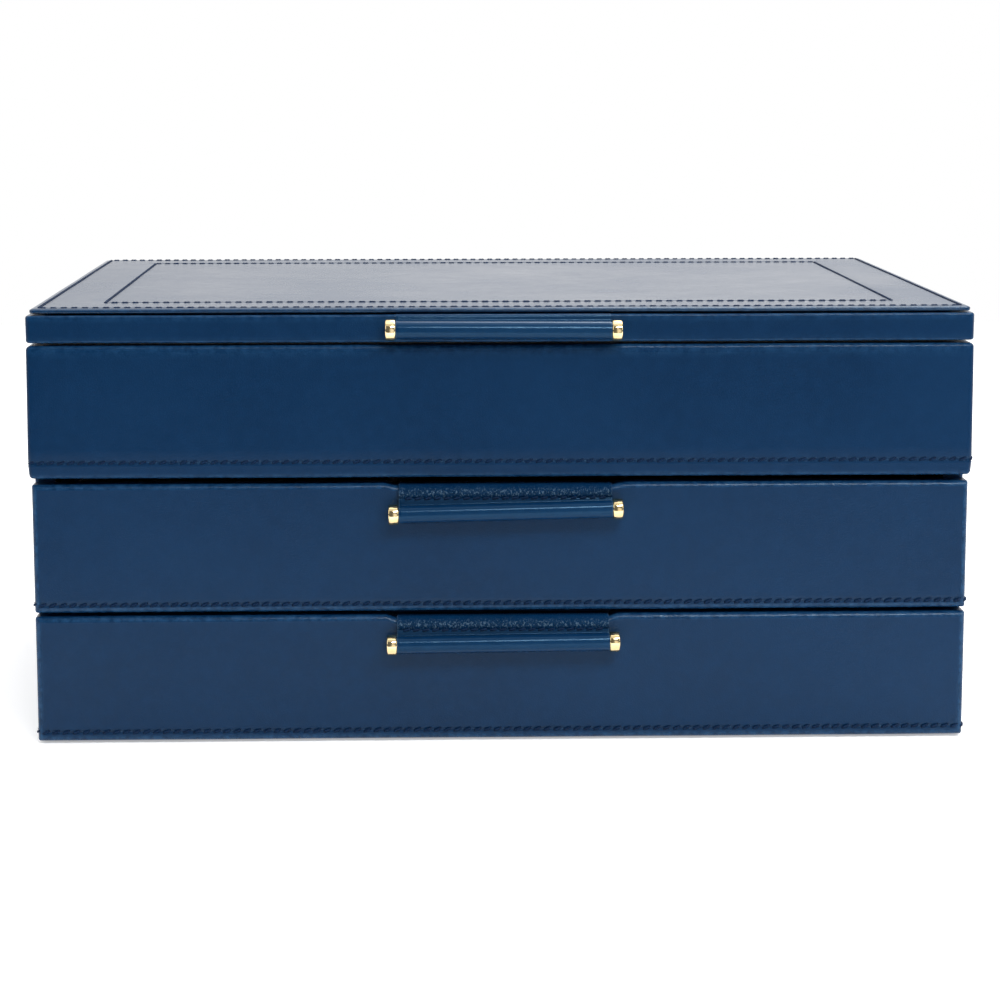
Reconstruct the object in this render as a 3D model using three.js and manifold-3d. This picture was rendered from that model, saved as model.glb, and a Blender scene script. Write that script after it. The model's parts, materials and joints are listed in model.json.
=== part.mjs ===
// A leather-covered jewellery case: a lidded upper tier over two drawers, with three leather pulls.
// Millimetres. +X is to the right seen from the front, +Y runs from front to back, +Z is up.
// The origin is the centre of the underside.

import * as THREE from 'three';
import { mergeVertices } from 'three/addons/utils/BufferGeometryUtils.js';
import Module from 'manifold-3d';

const wasm = await Module();
wasm.setup();

// ---- Outside sizes ----
const CASE_WIDTH = 340;
const CASE_DEPTH = 250;
const CORNER_RADIUS = 2;
const SMALLEST_RADIUS = 0.2;
const PLATE_EDGE = 0.5;

// ---- Heights, from the surface up ----
const FLOOR_GAP = 0.8;
const LOWER_FRONT_HEIGHT = 46.2;
const DRAWER_GAP = 1.4;
const UPPER_FRONT_HEIGHT = 46.9;
const TIER_GAP = 2.3;
const TIER_HEIGHT = 47.8;
const LID_GAP = 1;
const BAND_HEIGHT = 9.8;
const GROOVE_HEIGHT = 0.7;
const PLATE_THICKNESS = 1.8;

// ---- How far each level stands inside the upper tier ----
const CARCASS_INSET = 0.9;
const FRONT_SETBACK = 1.5;
const BAND_INSET = 0.4;
const PLATE_INSET = 1.7;

// ---- Thicknesses ----
const LEATHER = 1.2;
const LINING = 1;
const RIM_LINING = 1.6;
const FELT = 0.8;
const BASE_BOARD = 6;
const CARCASS_BOARD = 6;
const SHELF_BOARD = 5;
const DECK_BOARD = 5;
const WALL_BOARD = 6;
const LID_RAIL = 5.5;
const LID_PANEL = 4.5;
const MIRROR = 1.5;
const FRONT_THICKNESS = 9;
const DRAWER_BOARD = 5;
const DRAWER_BOTTOM = 3;
const DIVIDER = 3.5;

// ---- Clearances ----
const FIT = 0.3;
const SLIDE_GAP = 1;
const CLOSED_GAP = 0.5;
const DRAWER_HEADROOM = 3.5;
const DRAWER_BACK_ROOM = 4.5;
const LIP_CLEARANCE = 0.4;
const CUT_PAST = 1;

// ---- Inside fittings ----
const COVER_TURN_IN = 12;
const LINING_DROP = 1.2;
const DIVIDER_DROP = 5;
const TIER_DIVIDER_TOP_GAP = 5;
const MIDDLE_DIVIDER_Y = -8;
const FRONT_DIVIDER_X = 0;
const BACK_DIVIDER_X = 45;
const UPPER_DIVIDER_X = -40;
const LOWER_DIVIDER_X = 55;
const MIRROR_MARGIN = 14;
const RING_ROLLS = 4;
const RING_ROLL_HEIGHT = 21;
const RING_ROLL_EDGE = 1;

// ---- Pulls ----
const PULL_LENGTH = 84.4;
const KNOB_LENGTH = 3.7;
const KNOB_RADIUS = 3.75;
const KNOB_EDGE = 0.7;
const BAR_RADIUS = 1.8;
const SLEEVE_RADIUS = 3.3;
const FLAP_THICKNESS = 2;
const PULL_AXIS_BELOW_TOP = 5.3;
const PULL_HANG = 4.6;
const LID_PULL_AXIS_BELOW_TOP = 0.2;
const LID_PULL_HANG = 5.05;
const NOTCH_DEPTH = 1.2;
const NOTCH_RAMP = 3.5;
const NOTCH_SIDE_ROOM = 0.6;

// ---- Hinges ----
const HINGE_X = 95;
const HINGE_LENGTH = 36;
const HINGE_LEAF = 1;
const HINGE_LEAF_HEIGHT = 9;
const KNUCKLE_RADIUS = 1.9;
const HINGE_PIN_RADIUS = 0.8;
const PIN_HEAD_RADIUS = 1.5;
const PIN_HEAD_LENGTH = 0.8;
const PIN_HEAD_EDGE = 0.3;
const KNUCKLE_WEB_LAP = 1;

// ---- Levels ----
const LOWER_FRONT_BOTTOM = FLOOR_GAP;
const LOWER_FRONT_TOP = LOWER_FRONT_BOTTOM + LOWER_FRONT_HEIGHT;
const UPPER_FRONT_BOTTOM = LOWER_FRONT_TOP + DRAWER_GAP;
const UPPER_FRONT_TOP = UPPER_FRONT_BOTTOM + UPPER_FRONT_HEIGHT;
const TIER_BOTTOM = UPPER_FRONT_TOP + TIER_GAP;
const TIER_TOP = TIER_BOTTOM + TIER_HEIGHT;
const BAND_BOTTOM = TIER_TOP + LID_GAP;
const BAND_TOP = BAND_BOTTOM + BAND_HEIGHT;
const PLATE_BOTTOM = BAND_TOP + GROOVE_HEIGHT;
const PLATE_TOP = PLATE_BOTTOM + PLATE_THICKNESS;

const BASE_BOTTOM = FELT + FIT;
const BASE_TOP = BASE_BOTTOM + BASE_BOARD;
const SHELF_MIDDLE = LOWER_FRONT_TOP + DRAWER_GAP / 2;
const SHELF_BOTTOM = SHELF_MIDDLE - SHELF_BOARD / 2;
const SHELF_TOP = SHELF_BOTTOM + SHELF_BOARD;
const CARCASS_TOP = TIER_BOTTOM - FIT;
const DECK_BOTTOM = TIER_BOTTOM + LEATHER + FIT;
const DECK_TOP = DECK_BOTTOM + DECK_BOARD;
const WALL_TOP = TIER_TOP - LEATHER - FIT;
const PANEL_TOP = PLATE_BOTTOM - FIT;
const PANEL_BOTTOM = PANEL_TOP - LID_PANEL;
const LID_LINING_TOP = PANEL_BOTTOM - FIT;
const LID_LINING_BOTTOM = LID_LINING_TOP - LINING;
const MIRROR_TOP = LID_LINING_BOTTOM - FIT;
const LIP_TOP = LID_LINING_BOTTOM - FIT;
const COMPARTMENT_FLOOR = DECK_TOP + FIT + RIM_LINING;

// ---- Half widths (x) and half depths (y) of the nested levels ----
const TIER_X = CASE_WIDTH / 2;
const TIER_Y = CASE_DEPTH / 2;
const WALL_OUT_X = TIER_X - LEATHER - FIT;
const WALL_OUT_Y = TIER_Y - LEATHER - FIT;
const WALL_IN_X = WALL_OUT_X - WALL_BOARD;
const WALL_IN_Y = WALL_OUT_Y - WALL_BOARD;
const LINING_OUT_X = WALL_IN_X - FIT;
const LINING_OUT_Y = WALL_IN_Y - FIT;
const LINING_IN_X = LINING_OUT_X - RIM_LINING;
const LINING_IN_Y = LINING_OUT_Y - RIM_LINING;
const RAIL_IN_X = LINING_OUT_X + LIP_CLEARANCE;
const RAIL_IN_Y = LINING_OUT_Y + LIP_CLEARANCE;
const BAND_X = TIER_X - BAND_INSET;
const BAND_Y = TIER_Y - BAND_INSET;
const PLATE_X = TIER_X - PLATE_INSET;
const PLATE_Y = TIER_Y - PLATE_INSET;

const CARCASS_X = TIER_X - CARCASS_INSET;
const CARCASS_BACK_Y = TIER_Y - CARCASS_INSET;
const SIDE_OUT_X = CARCASS_X - LEATHER - FIT;
const BAY_X = SIDE_OUT_X - CARCASS_BOARD;
const BACK_OUT_Y = CARCASS_BACK_Y - LEATHER - FIT;
const BAY_BACK_Y = BACK_OUT_Y - CARCASS_BOARD;
const FRONT_FACE_Y = -TIER_Y + FRONT_SETBACK;
const FRONT_BACK_Y = FRONT_FACE_Y + FRONT_THICKNESS;
const CARCASS_FRONT_Y = FRONT_BACK_Y + CLOSED_GAP;
const SIDE_FRONT_Y = CARCASS_FRONT_Y + LEATHER + FIT;

const DRAWER_X = BAY_X - SLIDE_GAP;
const DRAWER_FRONT_Y = FRONT_BACK_Y + FIT;
const DRAWER_BACK_Y = BAY_BACK_Y - DRAWER_BACK_ROOM;

const HINGE_AXIS_Y = TIER_Y + FIT + KNUCKLE_RADIUS;
const HINGE_AXIS_Z = TIER_TOP + LID_GAP / 2;

// ---- Materials ----
const navyLeather = () => new THREE.MeshStandardMaterial({ color: 0x1e3959, roughness: 0.45, metalness: 0 });
const suede = () => new THREE.MeshStandardMaterial({ color: 0xb9b2a6, roughness: 0.95, metalness: 0 });
const fibreboard = () => new THREE.MeshStandardMaterial({ color: 0x8d7557, roughness: 0.9, metalness: 0 });
const felt = () => new THREE.MeshStandardMaterial({ color: 0x20242c, roughness: 1, metalness: 0 });
const brass = () => new THREE.MeshStandardMaterial({ color: 0xd9b46a, roughness: 0.2, metalness: 1 });
const silvered = () => new THREE.MeshStandardMaterial({ color: 0xe6eaec, roughness: 0.03, metalness: 1 });

// ---- Solid helpers ----

/** A box between two corners, each given as [x, y, z]. */
function box(low, high) {
  const size = high.map((value, axis) => value - low[axis]);
  const middle = high.map((value, axis) => (value + low[axis]) / 2);
  return new THREE.BoxGeometry(...size).translate(...middle);
}

/** A rectangle centred on the origin, with round corners. */
function roundedRectangle(halfX, halfY, radius) {
  const shape = new THREE.Shape();
  shape.moveTo(halfX, -halfY + radius);
  shape.lineTo(halfX, halfY - radius);
  shape.absarc(halfX - radius, halfY - radius, radius, 0, Math.PI / 2);
  shape.lineTo(-halfX + radius, halfY);
  shape.absarc(-halfX + radius, halfY - radius, radius, Math.PI / 2, Math.PI);
  shape.lineTo(-halfX, -halfY + radius);
  shape.absarc(-halfX + radius, -halfY + radius, radius, Math.PI, Math.PI * 1.5);
  shape.lineTo(halfX - radius, -halfY);
  shape.absarc(halfX - radius, -halfY + radius, radius, Math.PI * 1.5, Math.PI * 2);
  return shape;
}

/** A shape in the XY plane, made solid from one height to another. */
function slab(shape, bottom, top) {
  const depth = top - bottom;
  const geometry = new THREE.ExtrudeGeometry(shape, { depth, bevelEnabled: false, curveSegments: 4 });
  return geometry.translate(0, 0, bottom);
}

/** The same, with its edges rounded by a bevel that stays inside the outline. */
function roundedSlab(shape, bottom, top, bevel) {
  const geometry = new THREE.ExtrudeGeometry(shape, {
    depth: top - bottom - 2 * bevel,
    bevelThickness: bevel,
    bevelSize: bevel,
    bevelOffset: -bevel,
    bevelSegments: 2,
    curveSegments: 4,
  });
  return geometry.translate(0, 0, bottom + bevel);
}

/** A shape drawn in (y, z), made solid along X. */
function extrudeAlongX(shape, startX, endX) {
  const depth = endX - startX;
  const geometry = new THREE.ExtrudeGeometry(shape, { depth, bevelEnabled: false, curveSegments: 6 });
  const turn = new THREE.Matrix4().makeBasis(
    new THREE.Vector3(0, 1, 0),
    new THREE.Vector3(0, 0, 1),
    new THREE.Vector3(1, 0, 0),
  );
  return geometry.applyMatrix4(turn).translate(startX, 0, 0);
}

/** A shape drawn in (x, z), made solid along Y. */
function extrudeAlongY(shape, startY, endY) {
  const depth = endY - startY;
  const geometry = new THREE.ExtrudeGeometry(shape, { depth, bevelEnabled: false, curveSegments: 4 });
  const turn = new THREE.Matrix4().makeBasis(
    new THREE.Vector3(1, 0, 0),
    new THREE.Vector3(0, 0, 1),
    new THREE.Vector3(0, -1, 0),
  );
  return geometry.applyMatrix4(turn).translate(0, endY, 0);
}

/** A cylinder along X, centred at (x, y, z). */
function rodAlongX(radius, length, x, y, z) {
  return new THREE.CylinderGeometry(radius, radius, length, 20).rotateZ(Math.PI / 2).translate(x, y, z);
}

function toSolid(geometry) {
  const bare = geometry.index ? geometry.toNonIndexed() : geometry.clone();
  bare.deleteAttribute('normal');
  bare.deleteAttribute('uv');
  const merged = mergeVertices(bare, 1e-4);
  const mesh = new wasm.Mesh({
    numProp: 3,
    vertProperties: new Float32Array(merged.attributes.position.array),
    triVerts: new Uint32Array(merged.index.array),
  });
  return new wasm.Manifold(mesh);
}

function toGeometry(solid) {
  const mesh = solid.getMesh();
  const geometry = new THREE.BufferGeometry();
  geometry.setAttribute('position', new THREE.BufferAttribute(mesh.vertProperties, 3));
  geometry.setIndex(new THREE.BufferAttribute(mesh.triVerts, 1));
  geometry.computeVertexNormals();
  return geometry;
}

function cut(geometry, ...tools) {
  return toGeometry(tools.reduce((solid, tool) => solid.subtract(toSolid(tool)), toSolid(geometry)));
}

function join(...geometries) {
  const solids = geometries.map(toSolid);
  return toGeometry(solids.reduce((whole, solid) => whole.add(solid)));
}

function addPiece(group, name, geometry, material) {
  const mesh = new THREE.Mesh(geometry, material);
  mesh.name = name;
  group.add(mesh);
  return mesh;
}

/** A leather sleeve round a frame: an outer wall with its top and bottom turned in over the frame's edges. */
function wrappedBand(halfX, halfY, bottom, top, openX, openY, bottomTurnIn) {
  const outside = slab(roundedRectangle(halfX, halfY, CORNER_RADIUS), bottom, top);
  const cavity = box(
    [-halfX + LEATHER, -halfY + LEATHER, bottom + LEATHER],
    [halfX - LEATHER, halfY - LEATHER, top - LEATHER],
  );
  const mouth = box([-openX, -openY, bottom + LEATHER], [openX, openY, top + CUT_PAST]);
  const underX = halfX - bottomTurnIn;
  const underY = halfY - bottomTurnIn;
  const underside = box([-underX, -underY, bottom - CUT_PAST], [underX, underY, bottom + 2 * LEATHER]);
  return cut(outside, cavity, mouth, underside);
}

/** An open-topped tub of one thickness. */
function tub(low, high, thickness) {
  const inside = box(
    [low[0] + thickness, low[1] + thickness, low[2] + thickness],
    [high[0] - thickness, high[1] - thickness, high[2] + CUT_PAST],
  );
  return cut(box(low, high), inside);
}

/** Four boards laid out as a frame: long ones front and back, short ones between them. */
function addFrameBoards(group, names, outX, outY, inX, inY, bottom, top) {
  addPiece(group, names.front, box([-outX, -outY, bottom], [outX, -inY, top]), fibreboard());
  addPiece(group, names.back, box([-outX, inY, bottom], [outX, outY, top]), fibreboard());
  const shortY = inY - FIT;
  addPiece(group, names.left, box([-outX, -shortY, bottom], [-inX, shortY, top]), fibreboard());
  addPiece(group, names.right, box([inX, -shortY, bottom], [outX, shortY, top]), fibreboard());
}

// ---- Lower carcass: the housing that the two drawers slide in ----

function carcassCoverOutline() {
  const outline = new THREE.Shape();
  const corner = CORNER_RADIUS;
  outline.moveTo(-CARCASS_X, CARCASS_FRONT_Y);
  outline.lineTo(-BAY_X, CARCASS_FRONT_Y);
  outline.lineTo(-BAY_X, CARCASS_FRONT_Y + LEATHER);
  outline.lineTo(-CARCASS_X + LEATHER, CARCASS_FRONT_Y + LEATHER);
  outline.lineTo(-CARCASS_X + LEATHER, CARCASS_BACK_Y - LEATHER);
  outline.lineTo(CARCASS_X - LEATHER, CARCASS_BACK_Y - LEATHER);
  outline.lineTo(CARCASS_X - LEATHER, CARCASS_FRONT_Y + LEATHER);
  outline.lineTo(BAY_X, CARCASS_FRONT_Y + LEATHER);
  outline.lineTo(BAY_X, CARCASS_FRONT_Y);
  outline.lineTo(CARCASS_X, CARCASS_FRONT_Y);
  outline.lineTo(CARCASS_X, CARCASS_BACK_Y - corner);
  outline.absarc(CARCASS_X - corner, CARCASS_BACK_Y - corner, corner, 0, Math.PI / 2);
  outline.lineTo(-CARCASS_X + corner, CARCASS_BACK_Y);
  outline.absarc(-CARCASS_X + corner, CARCASS_BACK_Y - corner, corner, Math.PI / 2, Math.PI);
  return outline;
}

function buildCarcass() {
  const group = new THREE.Group();
  const feltX = CARCASS_X - LEATHER;
  const feltY = CARCASS_BACK_Y - LEATHER;
  addPiece(group, 'base_felt', box([-feltX, SIDE_FRONT_Y, 0], [feltX, feltY, FELT]), felt());

  const baseLow = [-SIDE_OUT_X, SIDE_FRONT_Y, BASE_BOTTOM];
  addPiece(group, 'base_board', box(baseLow, [SIDE_OUT_X, BACK_OUT_Y, BASE_TOP]), fibreboard());

  const sideBottom = BASE_TOP + FIT;
  for (const [name, side] of [['carcass_side_left', -1], ['carcass_side_right', 1]]) {
    const edges = [side * BAY_X, side * SIDE_OUT_X].sort((a, b) => a - b);
    const low = [edges[0], SIDE_FRONT_Y, sideBottom];
    addPiece(group, name, box(low, [edges[1], BACK_OUT_Y, CARCASS_TOP]), fibreboard());
  }

  const betweenX = BAY_X - FIT;
  const backLow = [-betweenX, BAY_BACK_Y, sideBottom];
  addPiece(group, 'carcass_back', box(backLow, [betweenX, BACK_OUT_Y, CARCASS_TOP]), fibreboard());

  const shelfLow = [-betweenX, SIDE_FRONT_Y, SHELF_BOTTOM];
  addPiece(group, 'drawer_shelf', box(shelfLow, [betweenX, BAY_BACK_Y - FIT, SHELF_TOP]), fibreboard());

  addPiece(group, 'carcass_cover', slab(carcassCoverOutline(), BASE_BOTTOM, CARCASS_TOP), navyLeather());
  return group;
}

// ---- Upper tier: the compartment under the lid ----

function ringRollOutline(depth) {
  const outline = new THREE.Shape();
  const half = depth / 2;
  const shoulder = RING_ROLL_HEIGHT - half;
  outline.moveTo(-half + RING_ROLL_EDGE, 0);
  outline.lineTo(half - RING_ROLL_EDGE, 0);
  outline.lineTo(half, RING_ROLL_EDGE);
  outline.lineTo(half, shoulder);
  outline.absarc(0, shoulder, half, 0, Math.PI);
  outline.lineTo(-half, RING_ROLL_EDGE);
  return outline;
}

function addTierDividers(group) {
  const bottom = COMPARTMENT_FLOOR + FIT;
  const top = TIER_TOP - TIER_DIVIDER_TOP_GAP;
  const endX = LINING_IN_X - FIT;
  const endY = LINING_IN_Y - FIT;
  const half = DIVIDER / 2;
  const frontOfMiddle = MIDDLE_DIVIDER_Y - half;
  const backOfMiddle = MIDDLE_DIVIDER_Y + half;
  const middle = box([-endX, frontOfMiddle, bottom], [endX, backOfMiddle, top]);
  const frontEnd = frontOfMiddle - FIT;
  const front = box([FRONT_DIVIDER_X - half, -endY, bottom], [FRONT_DIVIDER_X + half, frontEnd, top]);
  const back = box([BACK_DIVIDER_X - half, backOfMiddle + FIT, bottom], [BACK_DIVIDER_X + half, endY, top]);
  addPiece(group, 'divider_middle', middle, suede());
  addPiece(group, 'divider_front', front, suede());
  addPiece(group, 'divider_back', back, suede());
}

function addRingRolls(group) {
  const startX = -LINING_IN_X + 2 * FIT;
  const endX = FRONT_DIVIDER_X - DIVIDER / 2 - 2 * FIT;
  const frontY = -LINING_IN_Y + FIT;
  const backY = MIDDLE_DIVIDER_Y - DIVIDER / 2 - FIT;
  const pitch = (backY - frontY) / RING_ROLLS;
  for (let index = 0; index < RING_ROLLS; index += 1) {
    const roll = extrudeAlongX(ringRollOutline(pitch - 2 * FIT), startX, endX);
    roll.translate(0, frontY + pitch * (index + 0.5), COMPARTMENT_FLOOR + FIT);
    addPiece(group, `ring_roll_${index + 1}`, roll, suede());
  }
}

function buildUpperTier() {
  const group = new THREE.Group();
  const cover = wrappedBand(TIER_X, TIER_Y, TIER_BOTTOM, TIER_TOP, WALL_IN_X, WALL_IN_Y, COVER_TURN_IN);
  addPiece(group, 'tier_cover', cover, navyLeather());

  const deckLow = [-WALL_OUT_X, -WALL_OUT_Y, DECK_BOTTOM];
  addPiece(group, 'deck_board', box(deckLow, [WALL_OUT_X, WALL_OUT_Y, DECK_TOP]), fibreboard());

  const names = { front: 'wall_front', back: 'wall_back', left: 'wall_left', right: 'wall_right' };
  addFrameBoards(group, names, WALL_OUT_X, WALL_OUT_Y, WALL_IN_X, WALL_IN_Y, DECK_TOP + FIT, WALL_TOP);

  const liningLow = [-LINING_OUT_X, -LINING_OUT_Y, DECK_TOP + FIT];
  const liningHigh = [LINING_OUT_X, LINING_OUT_Y, LIP_TOP];
  addPiece(group, 'compartment_lining', tub(liningLow, liningHigh, RIM_LINING), suede());

  addTierDividers(group);
  addRingRolls(group);
  return group;
}

// ---- Hinges ----

/** One hinge leaf: a plate on the back face, rolled into knuckles round the pin. */
function hingeLeaf(plateBottom, plateTop, knuckles) {
  const leafY = TIER_Y + FIT;
  const half = HINGE_LENGTH / 2;
  const pieces = [box([-half, leafY, plateBottom], [half, leafY + HINGE_LEAF, plateTop])];
  for (const [startX, endX] of knuckles) {
    const length = endX - startX;
    const middleX = (startX + endX) / 2;
    const webBottom = Math.min(plateTop - KNUCKLE_WEB_LAP, HINGE_AXIS_Z);
    const webTop = Math.max(plateBottom + KNUCKLE_WEB_LAP, HINGE_AXIS_Z);
    pieces.push(rodAlongX(KNUCKLE_RADIUS, length, middleX, HINGE_AXIS_Y, HINGE_AXIS_Z));
    pieces.push(box([startX, leafY, webBottom], [endX, leafY + HINGE_LEAF, webTop]));
  }
  const bore = rodAlongX(HINGE_PIN_RADIUS + FIT, HINGE_LENGTH + 2 * CUT_PAST, 0, HINGE_AXIS_Y, HINGE_AXIS_Z);
  return cut(join(...pieces), bore);
}

function hingePin() {
  const half = HINGE_LENGTH / 2 + FIT;
  const end = half + PIN_HEAD_LENGTH;
  const profile = [
    [0, -end],
    [PIN_HEAD_RADIUS - PIN_HEAD_EDGE, -end],
    [PIN_HEAD_RADIUS, -end + PIN_HEAD_EDGE],
    [PIN_HEAD_RADIUS, -half],
    [HINGE_PIN_RADIUS, -half],
    [HINGE_PIN_RADIUS, half],
    [PIN_HEAD_RADIUS, half],
    [PIN_HEAD_RADIUS, end - PIN_HEAD_EDGE],
    [PIN_HEAD_RADIUS - PIN_HEAD_EDGE, end],
    [0, end],
  ];
  const points = profile.map(([radius, along]) => new THREE.Vector2(radius, along));
  return new THREE.LatheGeometry(points, 14).rotateZ(Math.PI / 2);
}

function buildHinge(side, position) {
  const group = new THREE.Group();
  group.position.x = position;
  const third = (HINGE_LENGTH - 2 * FIT) / 3;
  const half = HINGE_LENGTH / 2;
  const outerKnuckles = [[-half, -half + third], [half - third, half]];
  const innerKnuckle = [[-half + third + FIT, half - third - FIT]];
  const clearOfKnuckle = KNUCKLE_RADIUS + FIT;

  const caseTop = HINGE_AXIS_Z - clearOfKnuckle;
  const caseLeaf = hingeLeaf(caseTop - HINGE_LEAF_HEIGHT, caseTop, outerKnuckles);
  addPiece(group, `hinge_case_leaf_${side}`, caseLeaf, brass());

  const lidBottom = HINGE_AXIS_Z + clearOfKnuckle;
  const lidTop = Math.min(lidBottom + HINGE_LEAF_HEIGHT, BAND_TOP - FIT);
  const lidLeaf = hingeLeaf(lidBottom, lidTop, innerKnuckle);
  addPiece(group, `hinge_lid_leaf_${side}`, lidLeaf, brass());

  const pin = addPiece(group, `hinge_pin_${side}`, hingePin(), brass());
  pin.position.set(0, HINGE_AXIS_Y, HINGE_AXIS_Z);
  return group;
}

// ---- Lid ----

function buildLid() {
  const group = new THREE.Group();
  const turnIn = BAND_X - RAIL_IN_X;
  const cover = wrappedBand(BAND_X, BAND_Y, BAND_BOTTOM, BAND_TOP, RAIL_IN_X, RAIL_IN_Y, turnIn);
  addPiece(group, 'lid_band_cover', cover, navyLeather());

  const names = {
    front: 'lid_rail_front',
    back: 'lid_rail_back',
    left: 'lid_rail_left',
    right: 'lid_rail_right',
  };
  const railX = RAIL_IN_X + LID_RAIL;
  const railY = RAIL_IN_Y + LID_RAIL;
  const railBottom = BAND_BOTTOM + LEATHER + FIT;
  const railTop = BAND_TOP - LEATHER - FIT;
  addFrameBoards(group, names, railX, railY, RAIL_IN_X, RAIL_IN_Y, railBottom, railTop);

  const panelX = RAIL_IN_X - FIT;
  const panelY = RAIL_IN_Y - FIT;
  const panel = box([-panelX, -panelY, PANEL_BOTTOM], [panelX, panelY, PANEL_TOP]);
  addPiece(group, 'lid_panel', panel, fibreboard());

  const liningLow = [-panelX, -panelY, LID_LINING_BOTTOM];
  addPiece(group, 'lid_lining', box(liningLow, [panelX, panelY, LID_LINING_TOP]), suede());

  const mirrorX = LINING_IN_X - MIRROR_MARGIN;
  const mirrorY = LINING_IN_Y - MIRROR_MARGIN;
  const mirror = slab(roundedRectangle(mirrorX, mirrorY, CORNER_RADIUS), MIRROR_TOP - MIRROR, MIRROR_TOP);
  addPiece(group, 'lid_mirror', mirror, silvered());

  const plateOutline = roundedRectangle(PLATE_X, PLATE_Y, CORNER_RADIUS);
  const plate = roundedSlab(plateOutline, PLATE_BOTTOM, PLATE_TOP, PLATE_EDGE);
  addPiece(group, 'lid_top_pad', plate, navyLeather());
  return group;
}

// ---- Drawers ----

/** The outline of a drawer front in (x, z), with the shallow notch in its top edge that the strap lies in. */
function frontOutline(drawer, inset) {
  const outline = new THREE.Shape();
  const right = CARCASS_X - inset;
  const bottom = drawer.bottom + inset;
  const top = drawer.top - inset;
  const radius = Math.max(CORNER_RADIUS - inset, SMALLEST_RADIUS);
  const notchHalf = PULL_LENGTH / 2 - KNOB_LENGTH + NOTCH_SIDE_ROOM + inset;
  const notchRight = drawer.pullX + notchHalf;
  const notchLeft = drawer.pullX - notchHalf;
  const ramp = NOTCH_RAMP / 2;
  outline.moveTo(right, bottom + radius);
  outline.lineTo(right, top - radius);
  outline.absarc(right - radius, top - radius, radius, 0, Math.PI / 2);
  outline.lineTo(notchRight + NOTCH_RAMP, top);
  const floor = top - NOTCH_DEPTH;
  outline.bezierCurveTo(notchRight + ramp, top, notchRight + ramp, floor, notchRight, floor);
  outline.lineTo(notchLeft, floor);
  outline.bezierCurveTo(notchLeft - ramp, floor, notchLeft - ramp, top, notchLeft - NOTCH_RAMP, top);
  outline.lineTo(-right + radius, top);
  outline.absarc(-right + radius, top - radius, radius, Math.PI / 2, Math.PI);
  outline.lineTo(-right, bottom + radius);
  outline.absarc(-right + radius, bottom + radius, radius, Math.PI, Math.PI * 1.5);
  outline.lineTo(right - radius, bottom);
  outline.absarc(right - radius, bottom + radius, radius, Math.PI * 1.5, Math.PI * 2);
  return outline;
}

function addDrawerFront(group, drawer) {
  const outside = extrudeAlongY(frontOutline(drawer, 0), FRONT_FACE_Y, FRONT_BACK_Y);
  const hollowOutline = frontOutline(drawer, LEATHER);
  const hollow = extrudeAlongY(hollowOutline, FRONT_FACE_Y + LEATHER, FRONT_BACK_Y + CUT_PAST);
  addPiece(group, `${drawer.name}_front_cover`, cut(outside, hollow), navyLeather());
  const boardInset = LEATHER + FIT;
  const board = extrudeAlongY(frontOutline(drawer, boardInset), FRONT_FACE_Y + boardInset, FRONT_BACK_Y);
  addPiece(group, `${drawer.name}_front_board`, board, fibreboard());
}

function buildDrawer(drawer) {
  const group = new THREE.Group();
  addDrawerFront(group, drawer);

  const { boxBottom, boxTop } = drawer;
  const prefix = `${drawer.name}_drawer`;
  const inX = DRAWER_X - DRAWER_BOARD;
  const backFrontY = DRAWER_BACK_Y - DRAWER_BOARD;
  for (const [name, side] of [['left', -1], ['right', 1]]) {
    const edges = [side * inX, side * DRAWER_X].sort((a, b) => a - b);
    const low = [edges[0], DRAWER_FRONT_Y, boxBottom];
    addPiece(group, `${prefix}_${name}`, box(low, [edges[1], DRAWER_BACK_Y, boxTop]), fibreboard());
  }
  const betweenX = inX - FIT;
  const backLow = [-betweenX, backFrontY, boxBottom];
  addPiece(group, `${prefix}_back`, box(backLow, [betweenX, DRAWER_BACK_Y, boxTop]), fibreboard());

  const bottomTop = boxBottom + DRAWER_BOTTOM;
  const bottomLow = [-betweenX, DRAWER_FRONT_Y, boxBottom];
  addPiece(group, `${prefix}_bottom`, box(bottomLow, [betweenX, backFrontY - FIT, bottomTop]), fibreboard());

  const liningLow = [-betweenX, DRAWER_FRONT_Y, bottomTop + FIT];
  const liningHigh = [betweenX, backFrontY - FIT, boxTop - LINING_DROP];
  addPiece(group, `${prefix}_lining`, tub(liningLow, liningHigh, LINING), suede());

  const half = DIVIDER / 2;
  const dividerLow = [drawer.dividerX - half, DRAWER_FRONT_Y + LINING + FIT, bottomTop + 2 * FIT + LINING];
  const dividerHigh = [drawer.dividerX + half, backFrontY - 2 * FIT - LINING, boxTop - DIVIDER_DROP];
  addPiece(group, `${prefix}_divider`, box(dividerLow, dividerHigh), suede());
  return group;
}

// ---- Pulls: a leather strap sewn round a brass bar with a knob at each end ----

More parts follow.
